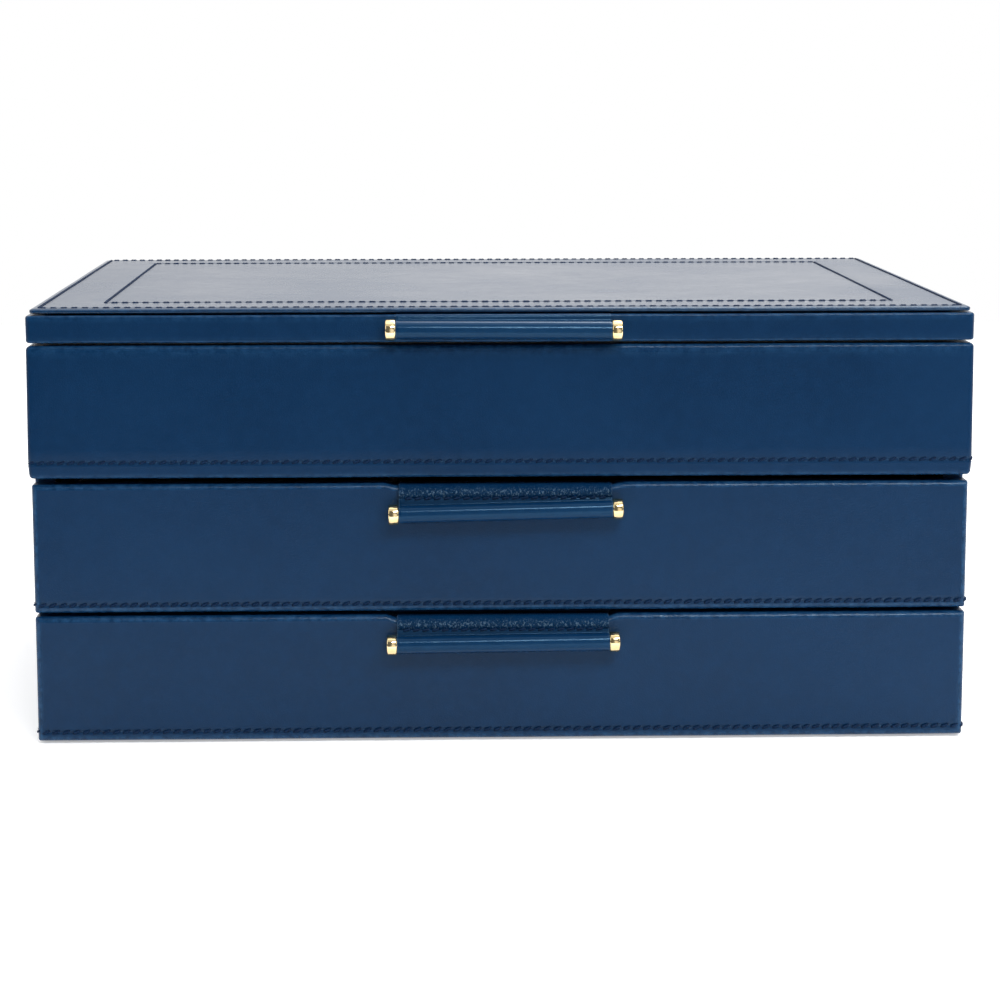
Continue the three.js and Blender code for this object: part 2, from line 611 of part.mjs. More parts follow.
/** The strap: a sleeve round the bar and the flap that it swings by, askew by the pull's tilt. */
function pullStrap(pull) {
  const length = PULL_LENGTH - 2 * KNOB_LENGTH - 2 * FIT;
  const half = length / 2;
  const halfFlap = FLAP_THICKNESS / 2;
  const reach = Math.hypot(pull.axisY - pull.barY, pull.axisZ - pull.barZ);
  const flapOutline = new THREE.Shape();
  flapOutline.moveTo(-halfFlap, 0);
  flapOutline.lineTo(halfFlap, 0);
  flapOutline.lineTo(halfFlap, reach);
  flapOutline.absarc(0, reach, halfFlap, 0, Math.PI);
  const lean = Math.atan2(pull.axisZ - pull.barZ, pull.axisY - pull.barY) - Math.PI / 2;
  const flap = extrudeAlongX(flapOutline, -half, half).rotateX(lean).translate(0, pull.barY, pull.barZ);
  const sleeve = rodAlongX(SLEEVE_RADIUS, length, 0, pull.barY, pull.barZ);
  const bore = rodAlongX(BAR_RADIUS + FIT, length + 2 * CUT_PAST, 0, pull.barY, pull.barZ);
  const strap = cut(join(flap, sleeve), bore);

  const slope = Math.tan(THREE.MathUtils.degToRad(pull.tilt));
  const flexible = pull.axisZ - pull.barZ - SLEEVE_RADIUS;
  const place = strap.attributes.position;
  for (let index = 0; index < place.count; index += 1) {
    const hang = THREE.MathUtils.clamp((pull.axisZ - place.getZ(index)) / flexible, 0, 1);
    place.setZ(index, place.getZ(index) + slope * hang * place.getX(index));
  }
  return strap;
}

function pullBar() {
  const end = PULL_LENGTH / 2;
  const neck = end - KNOB_LENGTH;
  const half = [
    [BAR_RADIUS, neck],
    [KNOB_RADIUS - KNOB_EDGE / 2, neck],
    [KNOB_RADIUS, neck + KNOB_EDGE / 2],
    [KNOB_RADIUS, end - KNOB_EDGE],
    [KNOB_RADIUS - KNOB_EDGE, end],
    [0, end],
  ];
  const mirrored = half.map(([radius, along]) => [radius, -along]).reverse();
  const points = [...mirrored, ...half].map(([radius, along]) => new THREE.Vector2(radius, along));
  return new THREE.LatheGeometry(points, 24).rotateZ(Math.PI / 2);
}

function buildPull(pull) {
  const group = new THREE.Group();
  group.position.x = pull.x;
  addPiece(group, `${pull.name}_pull_strap`, pullStrap(pull), navyLeather());
  const bar = addPiece(group, `${pull.name}_pull_bar`, pullBar(), brass());
  bar.position.set(0, pull.barY, pull.barZ);
  bar.rotation.y = -THREE.MathUtils.degToRad(pull.tilt);
  return group;
}

/** Where a pull hangs on a face: its swing axis just off the leather, its knobs resting on it. */
function pullPlace(name, x, tilt, faceY, axisZ, hang) {
  return {
    name,
    x,
    tilt,
    axisY: faceY - FIT - FLAP_THICKNESS / 2,
    axisZ,
    barY: faceY - FIT - KNOB_RADIUS,
    barZ: axisZ - hang,
  };
}

// ---- The whole case ----

const drawers = [
  {
    name: 'lower',
    bottom: LOWER_FRONT_BOTTOM,
    top: LOWER_FRONT_TOP,
    boxBottom: BASE_TOP + CLOSED_GAP,
    boxTop: SHELF_BOTTOM - DRAWER_HEADROOM,
    dividerX: LOWER_DIVIDER_X,
    pullX: 0.2,
    tilt: 0.55,
  },
  {
    name: 'upper',
    bottom: UPPER_FRONT_BOTTOM,
    top: UPPER_FRONT_TOP,
    boxBottom: SHELF_TOP + CLOSED_GAP,
    boxTop: TIER_BOTTOM - DRAWER_HEADROOM,
    dividerX: UPPER_DIVIDER_X,
    pullX: 1.1,
    tilt: 1.2,
  },
];
const lidPull = { x: 0.4, tilt: -0.3 };

const jewelleryCase = new THREE.Group();
jewelleryCase.add(buildCarcass());
jewelleryCase.add(buildUpperTier());
jewelleryCase.add(buildLid());
jewelleryCase.add(buildHinge('left', -HINGE_X));
jewelleryCase.add(buildHinge('right', HINGE_X));

for (const drawer of drawers) {
  const axisZ = drawer.top - PULL_AXIS_BELOW_TOP;
  jewelleryCase.add(buildDrawer(drawer));
  const place = pullPlace(drawer.name, drawer.pullX, drawer.tilt, FRONT_FACE_Y, axisZ, PULL_HANG);
  jewelleryCase.add(buildPull(place));
}
const lidAxisZ = BAND_TOP - LID_PULL_AXIS_BELOW_TOP;
jewelleryCase.add(buildPull(pullPlace('lid', lidPull.x, lidPull.tilt, -BAND_Y, lidAxisZ, LID_PULL_HANG)));

export default jewelleryCase;
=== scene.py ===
"""The looks of a leather jewellery case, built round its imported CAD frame. Lengths in metres."""

import json
import math
import bmesh
import bpy
import numpy as np
from mathutils import Matrix, Vector, noise


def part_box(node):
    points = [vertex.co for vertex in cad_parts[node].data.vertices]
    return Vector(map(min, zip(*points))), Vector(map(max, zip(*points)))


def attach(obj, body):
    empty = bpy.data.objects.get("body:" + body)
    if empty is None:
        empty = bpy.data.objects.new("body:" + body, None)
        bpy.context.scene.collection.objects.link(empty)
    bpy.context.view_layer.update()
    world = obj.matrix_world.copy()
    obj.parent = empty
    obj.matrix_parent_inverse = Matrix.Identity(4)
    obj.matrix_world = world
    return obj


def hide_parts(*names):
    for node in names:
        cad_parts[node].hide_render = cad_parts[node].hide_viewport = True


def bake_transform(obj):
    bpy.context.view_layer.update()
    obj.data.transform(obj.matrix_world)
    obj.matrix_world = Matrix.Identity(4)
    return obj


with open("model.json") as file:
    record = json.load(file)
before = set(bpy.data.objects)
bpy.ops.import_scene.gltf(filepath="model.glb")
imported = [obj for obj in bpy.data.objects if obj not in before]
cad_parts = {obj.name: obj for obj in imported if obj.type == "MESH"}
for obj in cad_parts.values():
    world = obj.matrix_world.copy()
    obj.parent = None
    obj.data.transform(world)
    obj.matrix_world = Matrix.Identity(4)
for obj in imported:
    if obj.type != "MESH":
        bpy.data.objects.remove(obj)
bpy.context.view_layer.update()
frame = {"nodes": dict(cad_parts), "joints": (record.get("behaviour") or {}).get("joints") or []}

MM = 0.001

# ---- Named sizes of the finish, on top of what the frame gives ----

LEATHER = 1.2 * MM
EDGE_ROUND = 2.0 * MM
BAND_EDGE_ROUND = 0.9 * MM
TIER_EDGE_ROUND = 1.6 * MM
FRONT_CORNER_ROUND = 0.9 * MM
BACKWARD_LEAN = 0.35 * MM
EDGE_TUCK = 0.5 * MM
THREAD_RADIUS = 0.45 * MM
FACE_STITCH_PITCH = 3.65 * MM
FACE_STITCH_LENGTH = 2.95 * MM
FACE_STITCH_SLANT = math.radians(21)
LID_STITCH_PITCH = 3.75 * MM
LID_STITCH_LENGTH = 3.3 * MM
TIER_STITCH_RISE = 5.9 * MM
UPPER_STITCH_RISE = 3.0 * MM
LOWER_STITCH_RISE = 3.6 * MM
PLATE_ROLL_WIDTH = 2.2 * MM
PLATE_ROLL_DROP = 0.85 * MM
PLATE_OUTER_STITCH = 3.0 * MM
PLATE_INNER_STITCH = 24.4 * MM
GROOVE_DEPTH = 0.3 * MM
NOTCH_DEPTH = 1.2 * MM
KNOB_LENGTH = 3.7 * MM
KNOB_EDGE = 0.5 * MM
BAR_RADIUS = 1.8 * MM
STRAP_THICKNESS = 0.9 * MM
LID_STRAP_THICKNESS = 0.62 * MM
STRAP_REACH = 0.27 * MM
STRAP_STITCH_DROP = 5.3 * MM
STRAP_STITCH_PITCH = 3.5 * MM
STRAP_STITCH_LENGTH = 2.9 * MM
STRAP_SEAM_DENT = 0.3 * MM
CREASE_HEIGHT = 0.2 * MM
NOTCH_RAMP = 4.0 * MM
NOTCH_REACH = 8.0 * MM
BAND_LINE_WIDTH = 1.1 * MM
FRONT_LINE_WIDTH = 0.9 * MM
PLATE_LINE_WIDTH = 0.8 * MM
COVER_UNEVENNESS = 0.10 * MM
PLATE_UNEVENNESS = 0.07 * MM
ROLL_SLACK = 0.9
ROLL_FACE_SIZE = 4 * MM
ROLL_FOLDS = 14
ROLL_FOLD_DEPTH = 0.35 * MM
ROLL_SEAM_DEPTH = 0.5 * MM
ROLL_SEAM_FROM_END = 3.2 * MM
SCREW_RADIUS = 1.7 * MM
SCREW_SHIFT = 11.5 * MM
SCREW_FROM_EDGE = 4.0 * MM
HINGE_LEAF_STAND = 1.3 * MM

CAMERA_PLACE = (-0.0309, -1.0954, 0.2439)
CAMERA_TURN = (math.pi / 2 - 0.1579, 0.0006, -0.031)
CAMERA_LENS = 98.26
FLOOR_EDGES = (-1.8, 1.8, -0.46, 1.5)

# noise_vector, used for the leather's unevenness, would otherwise be seeded from the clock.
noise.seed_set(5)


# ---------------------------------------------------------------- materials


class Shader:
    """A small helper that adds nodes to a material and links them."""

    def __init__(self, name):
        self.material = bpy.data.materials.new(name)
        self.material.use_nodes = True
        self.tree = self.material.node_tree
        self.bsdf = self.tree.nodes["Principled BSDF"]
        self.place = self.node("ShaderNodeTexCoord").outputs["Object"]

    def node(self, kind, **settings):
        made = self.tree.nodes.new(kind)
        for key, value in settings.items():
            setattr(made, key, value)
        return made

    def link(self, source, target):
        self.tree.links.new(source, target)

    def feed(self, target, value):
        if isinstance(value, bpy.types.NodeSocket):
            self.link(value, target)
        else:
            target.default_value = value

    def set(self, **values):
        """Principled inputs, with spaces in their names written as underscores."""
        for key, value in values.items():
            self.feed(self.bsdf.inputs[key.replace("_", " ")], value)

    def noise(self, scale, detail=3.0, roughness=0.5, place=None):
        made = self.node("ShaderNodeTexNoise")
        self.link(place or self.place, made.inputs["Vector"])
        made.inputs["Scale"].default_value = scale
        made.inputs["Detail"].default_value = detail
        made.inputs["Roughness"].default_value = roughness
        return made.outputs["Fac"]

    def cells(self, scale, place=None):
        made = self.node("ShaderNodeTexVoronoi", feature="DISTANCE_TO_EDGE")
        self.link(place or self.place, made.inputs["Vector"])
        made.inputs["Scale"].default_value = scale
        return made.outputs["Distance"]

    def stretched(self, x, y, z):
        made = self.node("ShaderNodeMapping")
        self.link(self.place, made.inputs["Vector"])
        made.inputs["Scale"].default_value = (x, y, z)
        return made.outputs["Vector"]

    def wavy(self, scale, amount):
        """Object coordinates pushed about by noise."""
        jitter = self.node("ShaderNodeTexNoise")
        self.link(self.place, jitter.inputs["Vector"])
        jitter.inputs["Scale"].default_value = scale
        push = self.node("ShaderNodeVectorMath", operation="SCALE")
        self.link(jitter.outputs["Color"], push.inputs[0])
        push.inputs["Scale"].default_value = amount
        moved = self.node("ShaderNodeVectorMath", operation="ADD")
        self.link(self.place, moved.inputs[0])
        self.link(push.outputs[0], moved.inputs[1])
        return moved.outputs[0]

    def math(self, operation, first, second=0.0, clamp=False):
        made = self.node("ShaderNodeMath", operation=operation, use_clamp=clamp)
        self.feed(made.inputs[0], first)
        self.feed(made.inputs[1], second)
        return made.outputs[0]

    def ramp(self, value, low, high, to_low=0.0, to_high=1.0):
        made = self.node("ShaderNodeMapRange", clamp=True)
        self.feed(made.inputs["Value"], value)
        made.inputs["From Min"].default_value = low
        made.inputs["From Max"].default_value = high
        made.inputs["To Min"].default_value = to_low
        made.inputs["To Max"].default_value = to_high
        return made.outputs["Result"]

    def mix(self, factor, first, second):
        made = self.node("ShaderNodeMix", data_type="RGBA")
        self.feed(made.inputs["Factor"], factor)
        self.feed(made.inputs["A"], first if isinstance(first, bpy.types.NodeSocket) else (*first, 1.0))
        self.feed(made.inputs["B"], second if isinstance(second, bpy.types.NodeSocket) else (*second, 1.0))
        return made.outputs["Result"]

    def attribute(self, name):
        return self.node("ShaderNodeAttribute", attribute_name=name).outputs["Fac"]

    def bump(self, height, distance, strength=1.0, after=None):
        made = self.node("ShaderNodeBump")
        self.link(height, made.inputs["Height"])
        made.inputs["Distance"].default_value = distance
        made.inputs["Strength"].default_value = strength
        if after is not None:
            self.link(after, made.inputs["Normal"])
        return made.outputs["Normal"]


def leather(name, ior, rough, grain=0.5, creased=False):
    """Smooth navy calf: fine cells and pores, faint clouding, paler edges (rubbed wear and partly a painted
    highlight), painted shade in the stitch grooves and painted highlight specks.
    """
    shader = Shader(name)
    clouds = shader.noise(11.0, 4.0, 0.55)
    mottle = shader.noise(230.0, 4.0, 0.6)
    cells = shader.ramp(shader.cells(1150.0, place=shader.wavy(900.0, 0.00035)), 0.0, 0.3)
    pores = shader.noise(3800.0, 2.0, 0.6)
    # Per-vertex marks: positive values are rubbed edges that are partly a painted highlight, negative values
    # paint shade into the stitch grooves.
    wear = shader.attribute("wear")

    colour = shader.mix(shader.ramp(clouds, 0.35, 0.68), (0.0007, 0.0183, 0.059), (0.0012, 0.0235, 0.074))
    colour = shader.mix(shader.ramp(mottle, 0.4, 0.75, 0.0, 0.45), colour, (0.0023, 0.0290, 0.088))
    colour = shader.mix(shader.ramp(cells, 0.0, 0.6, 0.3, 0.0), colour, (0.0008, 0.0170, 0.060))
    # Paler edge colour: partly rubbed wear, partly a painted highlight along the rolled edges; on the strap
    # it is the pale raw cut ends.
    rub_and_highlight_mask = shader.math("MULTIPLY", wear, shader.ramp(shader.noise(420.0, 5.0, 0.7), 0.38, 0.62), clamp=True)
    rubbed_and_highlit = (0.075, 0.135, 0.215) if creased else (0.022, 0.085, 0.190)
    colour = shader.mix(shader.math("MULTIPLY", rub_and_highlight_mask, 0.6), colour, rubbed_and_highlit)
    # Painted shade: negative values darken the leather in the pressed stitch grooves.
    pressed = shader.math("MULTIPLY", wear, -0.7, clamp=True)
    colour = shader.mix(pressed, colour, (0.0006, 0.0100, 0.036))
    # Painted highlight: pale specks in the pressed grooves stand in for lit leather between the stitches.
    glint_specks = shader.ramp(shader.noise(1500.0, 4.0, 0.7, place=shader.stretched(1.0, 1.0, 0.7)), 0.53, 0.62)
    colour = shader.mix(shader.math("MULTIPLY", pressed, glint_specks, clamp=True), colour, (0.045, 0.110, 0.190))
    if creased:
        # Painted highlight: pale specks on the strap's crinkled zone stand in for glints on the creases.
        crinkle_glints = shader.math("MULTIPLY", shader.attribute("creased"), glint_specks, clamp=True)
        colour = shader.mix(shader.math("MULTIPLY", crinkle_glints, 0.6), colour, (0.150, 0.250, 0.350))
    shader.set(Base_Color=colour, IOR=ior)

    shine = shader.ramp(clouds, 0.3, 0.7, rough - 0.03, rough + 0.05)
    shine = shader.math("ADD", shine, shader.ramp(mottle, 0.3, 0.8, -0.012, 0.018))
    shader.set(Roughness=shader.math("SUBTRACT", shine, shader.ramp(wear, 0.1, 0.9, 0.0, 0.7 * rough)))
    shader.set(Specular_Tint=(0.38, 0.72, 1.0, 1.0) if creased else (0.84, 0.97, 1.0, 1.0))

    slow = shader.bump(shader.noise(26.0, 3.0, 0.5), 0.0011, 0.22)
    coarse = shader.bump(cells, 0.00006, grain, after=slow)
    fine = shader.bump(pores, 0.00005, 0.8 * grain, after=coarse)
    if creased:
        creases = shader.noise(900.0, 5.0, 0.75, place=shader.stretched(1.0, 0.6, 0.6))
        depth = shader.math("MULTIPLY", creases, shader.attribute("creased"))
        fine = shader.bump(depth, 0.0016, 1.0, after=fine)
    shader.set(Normal=fine)
    return shader.material


def thread():
    """Waxed navy thread, twisted, with painted shade where it dives into its holes."""
    shader = Shader("waxed_thread")
    twist = shader.noise(2600.0, 3.0, 0.6)
    colour = shader.mix(shader.ramp(twist, 0.4, 0.7), (0.0006, 0.0085, 0.034), (0.003, 0.026, 0.080))
    # Painted shade: the thread darkens near its ends, where it dives into the holes.
    colour = shader.mix(shader.attribute("dip"), colour, (0.0004, 0.003, 0.012))
    shader.set(Base_Color=colour, Roughness=shader.ramp(twist, 0.3, 0.7, 0.45, 0.65))
    shader.set(IOR=1.22, Normal=shader.bump(twist, 0.0001, 0.9))
    return shader.material


def suede(name, deep, lit):
    """Short-napped cloth, brushed in patches."""
    shader = Shader(name)
    nap = shader.noise(1700.0, 4.0, 0.7)
    brushed = shader.noise(36.0, 4.0, 0.6, place=shader.wavy(20.0, 0.02))
    colour = shader.mix(shader.ramp(brushed, 0.35, 0.65), deep, lit)
    colour = shader.mix(shader.ramp(nap, 0.3, 0.6, 0.4, 0.0), colour, tuple(0.55 * c for c in deep))
    shader.set(Base_Color=colour, Roughness=shader.ramp(nap, 0.3, 0.8, 0.85, 0.97))
    shader.set(IOR=1.4, Sheen_Weight=0.35, Sheen_Roughness=0.45)
    shader.set(Normal=shader.bump(nap, 0.00022, 0.7))
    return shader.material


def felt():
    """Dark pressed felt with loose fibres."""
    shader = Shader("pressed_felt")
    fibres = shader.noise(900.0, 6.0, 0.8, place=shader.wavy(300.0, 0.002))
    colour = shader.mix(shader.ramp(fibres, 0.35, 0.7), (0.008, 0.010, 0.016), (0.03, 0.035, 0.048))
    shader.set(Base_Color=colour, Roughness=shader.ramp(fibres, 0.3, 0.7, 0.9, 0.99))
    shader.set(Sheen_Weight=0.3, Sheen_Roughness=0.6, Normal=shader.bump(fibres, 0.0003, 0.8))
    return shader.material


def fibreboard():
    """Sealed fibreboard, seen only inside the joints."""
    shader = Shader("sealed_fibreboard")
    fibres = shader.noise(700.0, 6.0, 0.75)
    colour = shader.mix(shader.ramp(fibres, 0.35, 0.7), (0.16, 0.10, 0.052), (0.30, 0.20, 0.11))
    shader.set(Base_Color=colour, Roughness=shader.ramp(fibres, 0.3, 0.7, 0.6, 0.8))
    shader.set(Normal=shader.bump(fibres, 0.0001, 0.6))
    return shader.material


def brass(name, roughness, deep, bright):
    """Lacquered gold-coloured brass with hairline polishing marks and a few dull patches."""
    shader = Shader(name)
    hairlines = shader.noise(900.0, 3.0, 0.7, place=shader.stretched(6.0, 0.5, 0.5))
    patches = shader.noise(300.0, 3.0, 0.6)
    wear = shader.attribute("wear")
    colour = shader.mix(shader.ramp(patches, 0.35, 0.7), deep, bright)
    colour = shader.mix(shader.math("MULTIPLY", wear, 0.6), colour, tuple(0.6 * c for c in deep))
    dull = shader.ramp(hairlines, 0.3, 0.75, roughness, roughness + 0.1)
    shader.set(Base_Color=colour, Metallic=1.0, Roughness=dull)
    shader.set(Normal=shader.bump(hairlines, 0.00001, 0.4))
    return shader.material


def silvered_glass():
    """Mirror glass with a faint haze."""
    shader = Shader("silvered_glass")
    haze = shader.noise(40.0, 4.0, 0.6)
    colour = shader.mix(haze, (0.86, 0.89, 0.89), (0.93, 0.95, 0.95))
    shader.set(Base_Color=colour, Metallic=1.0, Roughness=shader.ramp(haze, 0.3, 0.8, 0.015, 0.05))
    return shader.material


LEATHER_CASE = leather("navy_leather", 1.24, 0.33)
LEATHER_FRONT = leather("navy_front_leather", 1.30, 0.31)
LEATHER_LID = leather("navy_lid_leather", 1.48, 0.25, 0.18)
LEATHER_STRAP = leather("navy_strap_leather", 1.40, 0.13, 0.2, creased=True)
THREAD = thread()
SUEDE = suede("grey_suede", (0.30, 0.275, 0.24), (0.42, 0.39, 0.345))
VELVET = suede("grey_velvet", (0.27, 0.245, 0.215), (0.43, 0.40, 0.35))
FELT = felt()
BOARD = fibreboard()
POLISHED_BRASS = brass("polished_brass", 0.07, (0.92, 0.70, 0.34), (0.98, 0.80, 0.48))
HINGE_BRASS = brass("hinge_brass", 0.24, (0.55, 0.40, 0.18), (0.66, 0.50, 0.26))
MIRROR = silvered_glass()


# ---------------------------------------------------------------- mesh helpers


def make_object(name, verts, faces, material, sharp_angle=40.0, **attributes):
    """A smooth-shaded mesh object; each keyword gives one number per vertex for the materials."""
    mesh = bpy.data.meshes.new(name)
    mesh.from_pydata([tuple(map(float, v)) for v in verts], [], faces)
    for key, values in attributes.items():
        mesh.attributes.new(key, "FLOAT", "POINT").data.foreach_set("value", np.asarray(values, np.float32))
    shell = bmesh.new()
    shell.from_mesh(mesh)
    bmesh.ops.remove_doubles(shell, verts=shell.verts, dist=1e-7)
    bmesh.ops.recalc_face_normals(shell, faces=shell.faces)
    shell.to_mesh(mesh)
    shell.free()
    mesh.polygons.foreach_set("use_smooth", [True] * len(mesh.polygons))
    mesh.set_sharp_from_angle(angle=math.radians(sharp_angle))
    mesh.materials.append(material)
    made = bpy.data.objects.new(name, mesh)
    bpy.context.scene.collection.objects.link(made)
    return made


def loft(loops, closed_along=False, cap_first=False, cap_last=False):
    """Vertices and faces through closed loops of equal length."""
    count = len(loops[0])
    verts = np.concatenate(loops)
    rows = len(loops)
    faces = []
    last_row = rows if closed_along else rows - 1
    for row in range(last_row):
        here = row * count
        there = ((row + 1) % rows) * count
        for column in range(count):
            beside = (column + 1) % count
            faces.append((here + column, here + beside, there + beside, there + column))
    if cap_first:
        faces.append(tuple(range(count)))
    if cap_last:
        faces.append(tuple(range((rows - 1) * count, rows * count)))
    return verts, faces


def spread(start, end, step):
    """Points from start to end, end left out, about one step apart."""
    start, end = np.asarray(start, float), np.asarray(end, float)
    count = max(1, int(round(np.linalg.norm(end - start) / step)))
    return [start + (end - start) * i / count for i in range(count)]


def rounded_loop(half_a, half_b, radius, inset, counts, arc_steps=6):
    """A rectangle with round corners, shrunk by inset, with the same number of points whatever the inset."""
    bend = max(radius - inset, 0.02 * MM)
    a, b = half_a - inset - bend, half_b - inset - bend
    points = []
    for index, (sign_a, sign_b) in enumerate([(1, 1), (-1, 1), (-1, -1), (1, -1)]):
        start = index * math.pi / 2
        centre = np.array([sign_a * a, sign_b * b])
        arc = [
            centre + bend * np.array([math.cos(start + t), math.sin(start + t)])
            for t in np.linspace(0, math.pi / 2, arc_steps + 1)
        ]
        points += arc
        next_a, next_b = [(-1, 1), (-1, -1), (1, -1), (1, 1)][index]
        turn = start + math.pi / 2
        target = np.array([next_a * a, next_b * b]) + bend * np.array([math.cos(turn), math.sin(turn)])
        steps = counts[index % 2]
        points += [arc[-1] + (target - arc[-1]) * i / steps for i in range(1, steps)]
    return np.array(points)


def at_height(loop, z):
    return np.column_stack([loop, np.full(len(loop), z)])


def circle(radius, sides):
    """Points of a circle, as pairs."""
    angles = [2 * math.pi * side / sides for side in range(sides)]
    return [(radius * math.cos(angle), radius * math.sin(angle)) for angle in angles]


def quarter(inset_start, z_start, inset_end, z_end, steps, bulge_first):
    """Points of a quarter-round between two ends, as (inset, z)."""
    points = []
    for t in np.linspace(0, math.pi / 2, steps + 1):
        if bulge_first:
            u, v = 1 - math.cos(t), math.sin(t)
        else:
            u, v = math.sin(t), 1 - math.cos(t)
        points.append((inset_start + (inset_end - inset_start) * u, z_start + (z_end - z_start) * v))
    return points


def undulate(verts, amount, size):
    """Leans every point in and out a little, as leather drawn over a board does."""
    for point in verts:
        point += np.array(noise.noise_vector(Vector(point) / size) * amount)


def soften(node, material, width, segments=3):
    """A CAD node that stays: rounded edges and its finish."""
    piece = frame["nodes"][node]
    piece.data.materials.clear()
    piece.data.materials.append(material)
    if width:
        bevel = piece.modifiers.new("rounded edges", "BEVEL")
        bevel.width = width
        bevel.segments = segments
        bevel.limit_method = "ANGLE"
        bevel.angle_limit = math.radians(50)
        bevel.harden_normals = False


# ---------------------------------------------------------------- stitching


def stitches(name, path, normals, body, pitch=FACE_STITCH_PITCH, length=FACE_STITCH_LENGTH,
             slant=FACE_STITCH_SLANT, proud=0.5, closed=False):
    """Separate stitches along a path: short twisted threads that dive into the leather at both ends."""
    path = np.asarray(path, float)
    normals = np.asarray(normals, float)
    if closed:
        path = np.vstack([path, path[:1]])
        normals = np.vstack([normals, normals[:1]])
    legs = np.linalg.norm(np.diff(path, axis=0), axis=1)
    along = np.concatenate([[0], np.cumsum(legs)])
    count = int(round(along[-1] / pitch)) if closed else int(along[-1] // pitch)
    pitch = along[-1] / count if closed else pitch
    start = pitch / 2 if closed else (along[-1] - (count - 1) * pitch) / 2
    verts, faces, hole_shades = [], [], []
    rings, sides = 11, 8

    def at(s):
        return np.array([np.interp(s, along, path[:, axis]) for axis in range(3)])

    for index in range(count):
        middle = start + index * pitch
        first = len(verts)
        wobble = noise.noise(Vector((index * 1.7, pitch * 900, 0.3)))
        for ring in range(rings):
            t = ring / (rings - 1) * 2 - 1
            s = np.clip(middle + t * length / 2 * (1 + 0.05 * wobble), 0, along[-1])
            up = np.array([np.interp(s, along, normals[:, axis]) for axis in range(3)])
            up /= np.linalg.norm(up)
            tangent = at(min(s + 0.1 * MM, along[-1])) - at(max(s - 0.1 * MM, 0))
            tangent /= max(np.linalg.norm(tangent), 1e-9)
            across = np.cross(up, tangent)
            drift = across * (math.tan(slant) * t * length / 2 * (1 + 0.25 * wobble))
            height = THREAD_RADIUS * (proud - (1.1 + proud) * abs(t) ** 5 + 0.1 * wobble)
            size = THREAD_RADIUS * (1.0 - 0.35 * abs(t) ** 4)
            for side in range(sides):
                angle = 2 * math.pi * side / sides
                twist = 1 + 0.12 * math.cos(2 * (angle - t * 4.0))
                offset = (across * math.cos(angle) + up * math.sin(angle) * 0.9) * size * twist
                verts.append(at(s) + drift + up * height + offset)
                # How much painted shade each thread point gets near its ends.
                hole_shades.append(min(max((abs(t) - 0.7) / 0.25, 0), 1))
        for ring in range(rings - 1):
            for side in range(sides):
                a = first + ring * sides + side
                b = first + ring * sides + (side + 1) % sides
                faces.append((a, b, b + sides, a + sides))
        faces.append(tuple(range(first, first + sides))[::-1])
        faces.append(tuple(range(first + (rings - 1) * sides, first + rings * sides)))
    made = make_object(name, verts, faces, THREAD, sharp_angle=60, dip=hole_shades)
    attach(made, body)


def rectangle_path(half_x, half_y, radius, z):
    """A closed path round a rounded rectangle at one height, with its outward normals."""
    loop = rounded_loop(half_x, half_y, radius, 0.0, (60, 44))
    inner = rounded_loop(half_x, half_y, radius, min(radius * 0.5, 0.5 * MM), (60, 44))
    outward = loop - inner
    outward /= np.linalg.norm(outward, axis=1)[:, None]
    return at_height(loop, z), np.column_stack([outward, np.zeros(len(outward))])


# ---------------------------------------------------------------- lid


def pressed_line(place, span, depth=GROOVE_DEPTH):
    """Points across a pressed stitch line, as (place, depth, wear)."""
    # The third column goes negative in the groove: painted shade darkening the pressed stitch line.
    shape = [(-1.0, 0.0, 0.0), (-0.5, 0.65, -0.35), (0.0, 1.0, -0.6), (0.5, 0.65, -0.35), (1.0, 0.0, 0.0)]
    return [(place + offset * span, share * depth, wear) for offset, share, wear in shape]


def band_profile(low_z, high_z, depth, bend, groove_z=None):
    """The outside of a wrapped band as (inset, z, wear), from the top's inner edge round to the bottom's."""
    profile = [(depth, high_z, 0.0), (depth * 0.5, high_z, 0.05)]
    top = quarter(bend, high_z, 0.0, high_z - bend, 5, False)
    # Paler top edge: partly rubbed wear and partly a painted highlight.
    profile += [(inset, z, 0.9 if 0 < i < 4 else 0.45) for i, (inset, z) in enumerate(top)]
    bottom_bend = bend
    if groove_z is None:
        profile += [(0.0, z, 0.0) for z in np.linspace(high_z - bend, low_z + bend, 5)[1:-1]]
    else:
        lean = BACKWARD_LEAN / (high_z - bend - groove_z)
        profile = [(inset + BACKWARD_LEAN, z, wear) for inset, z, wear in profile]
        heights = np.linspace(high_z - bend, groove_z + 1.2 * MM, 12)[1:-1]
        profile += [((z - groove_z) * lean, z, 0.0) for z in heights]
        line = [(-offset, inset, wear) for offset, inset, wear in pressed_line(-groove_z, BAND_LINE_WIDTH)]
        profile += [(inset, z, wear) for z, inset, wear in line]
        strip = np.linspace(groove_z - 1.6 * MM, low_z + bend, 4)
        tucked = [(EDGE_TUCK * ((groove_z - z) / (groove_z - low_z)) ** 1.3, z) for z in strip]
        profile += [(inset, z, 0.0) for inset, z in tucked]
        bottom_bend = bend + tucked[-1][0]
    start = bottom_bend - bend
    bottom = quarter(start, low_z + bend, bottom_bend, low_z, 5, True)
    profile += [(inset, z, 0.6 if 0 < i < 5 else 0.2) for i, (inset, z) in enumerate(bottom)]
    return profile


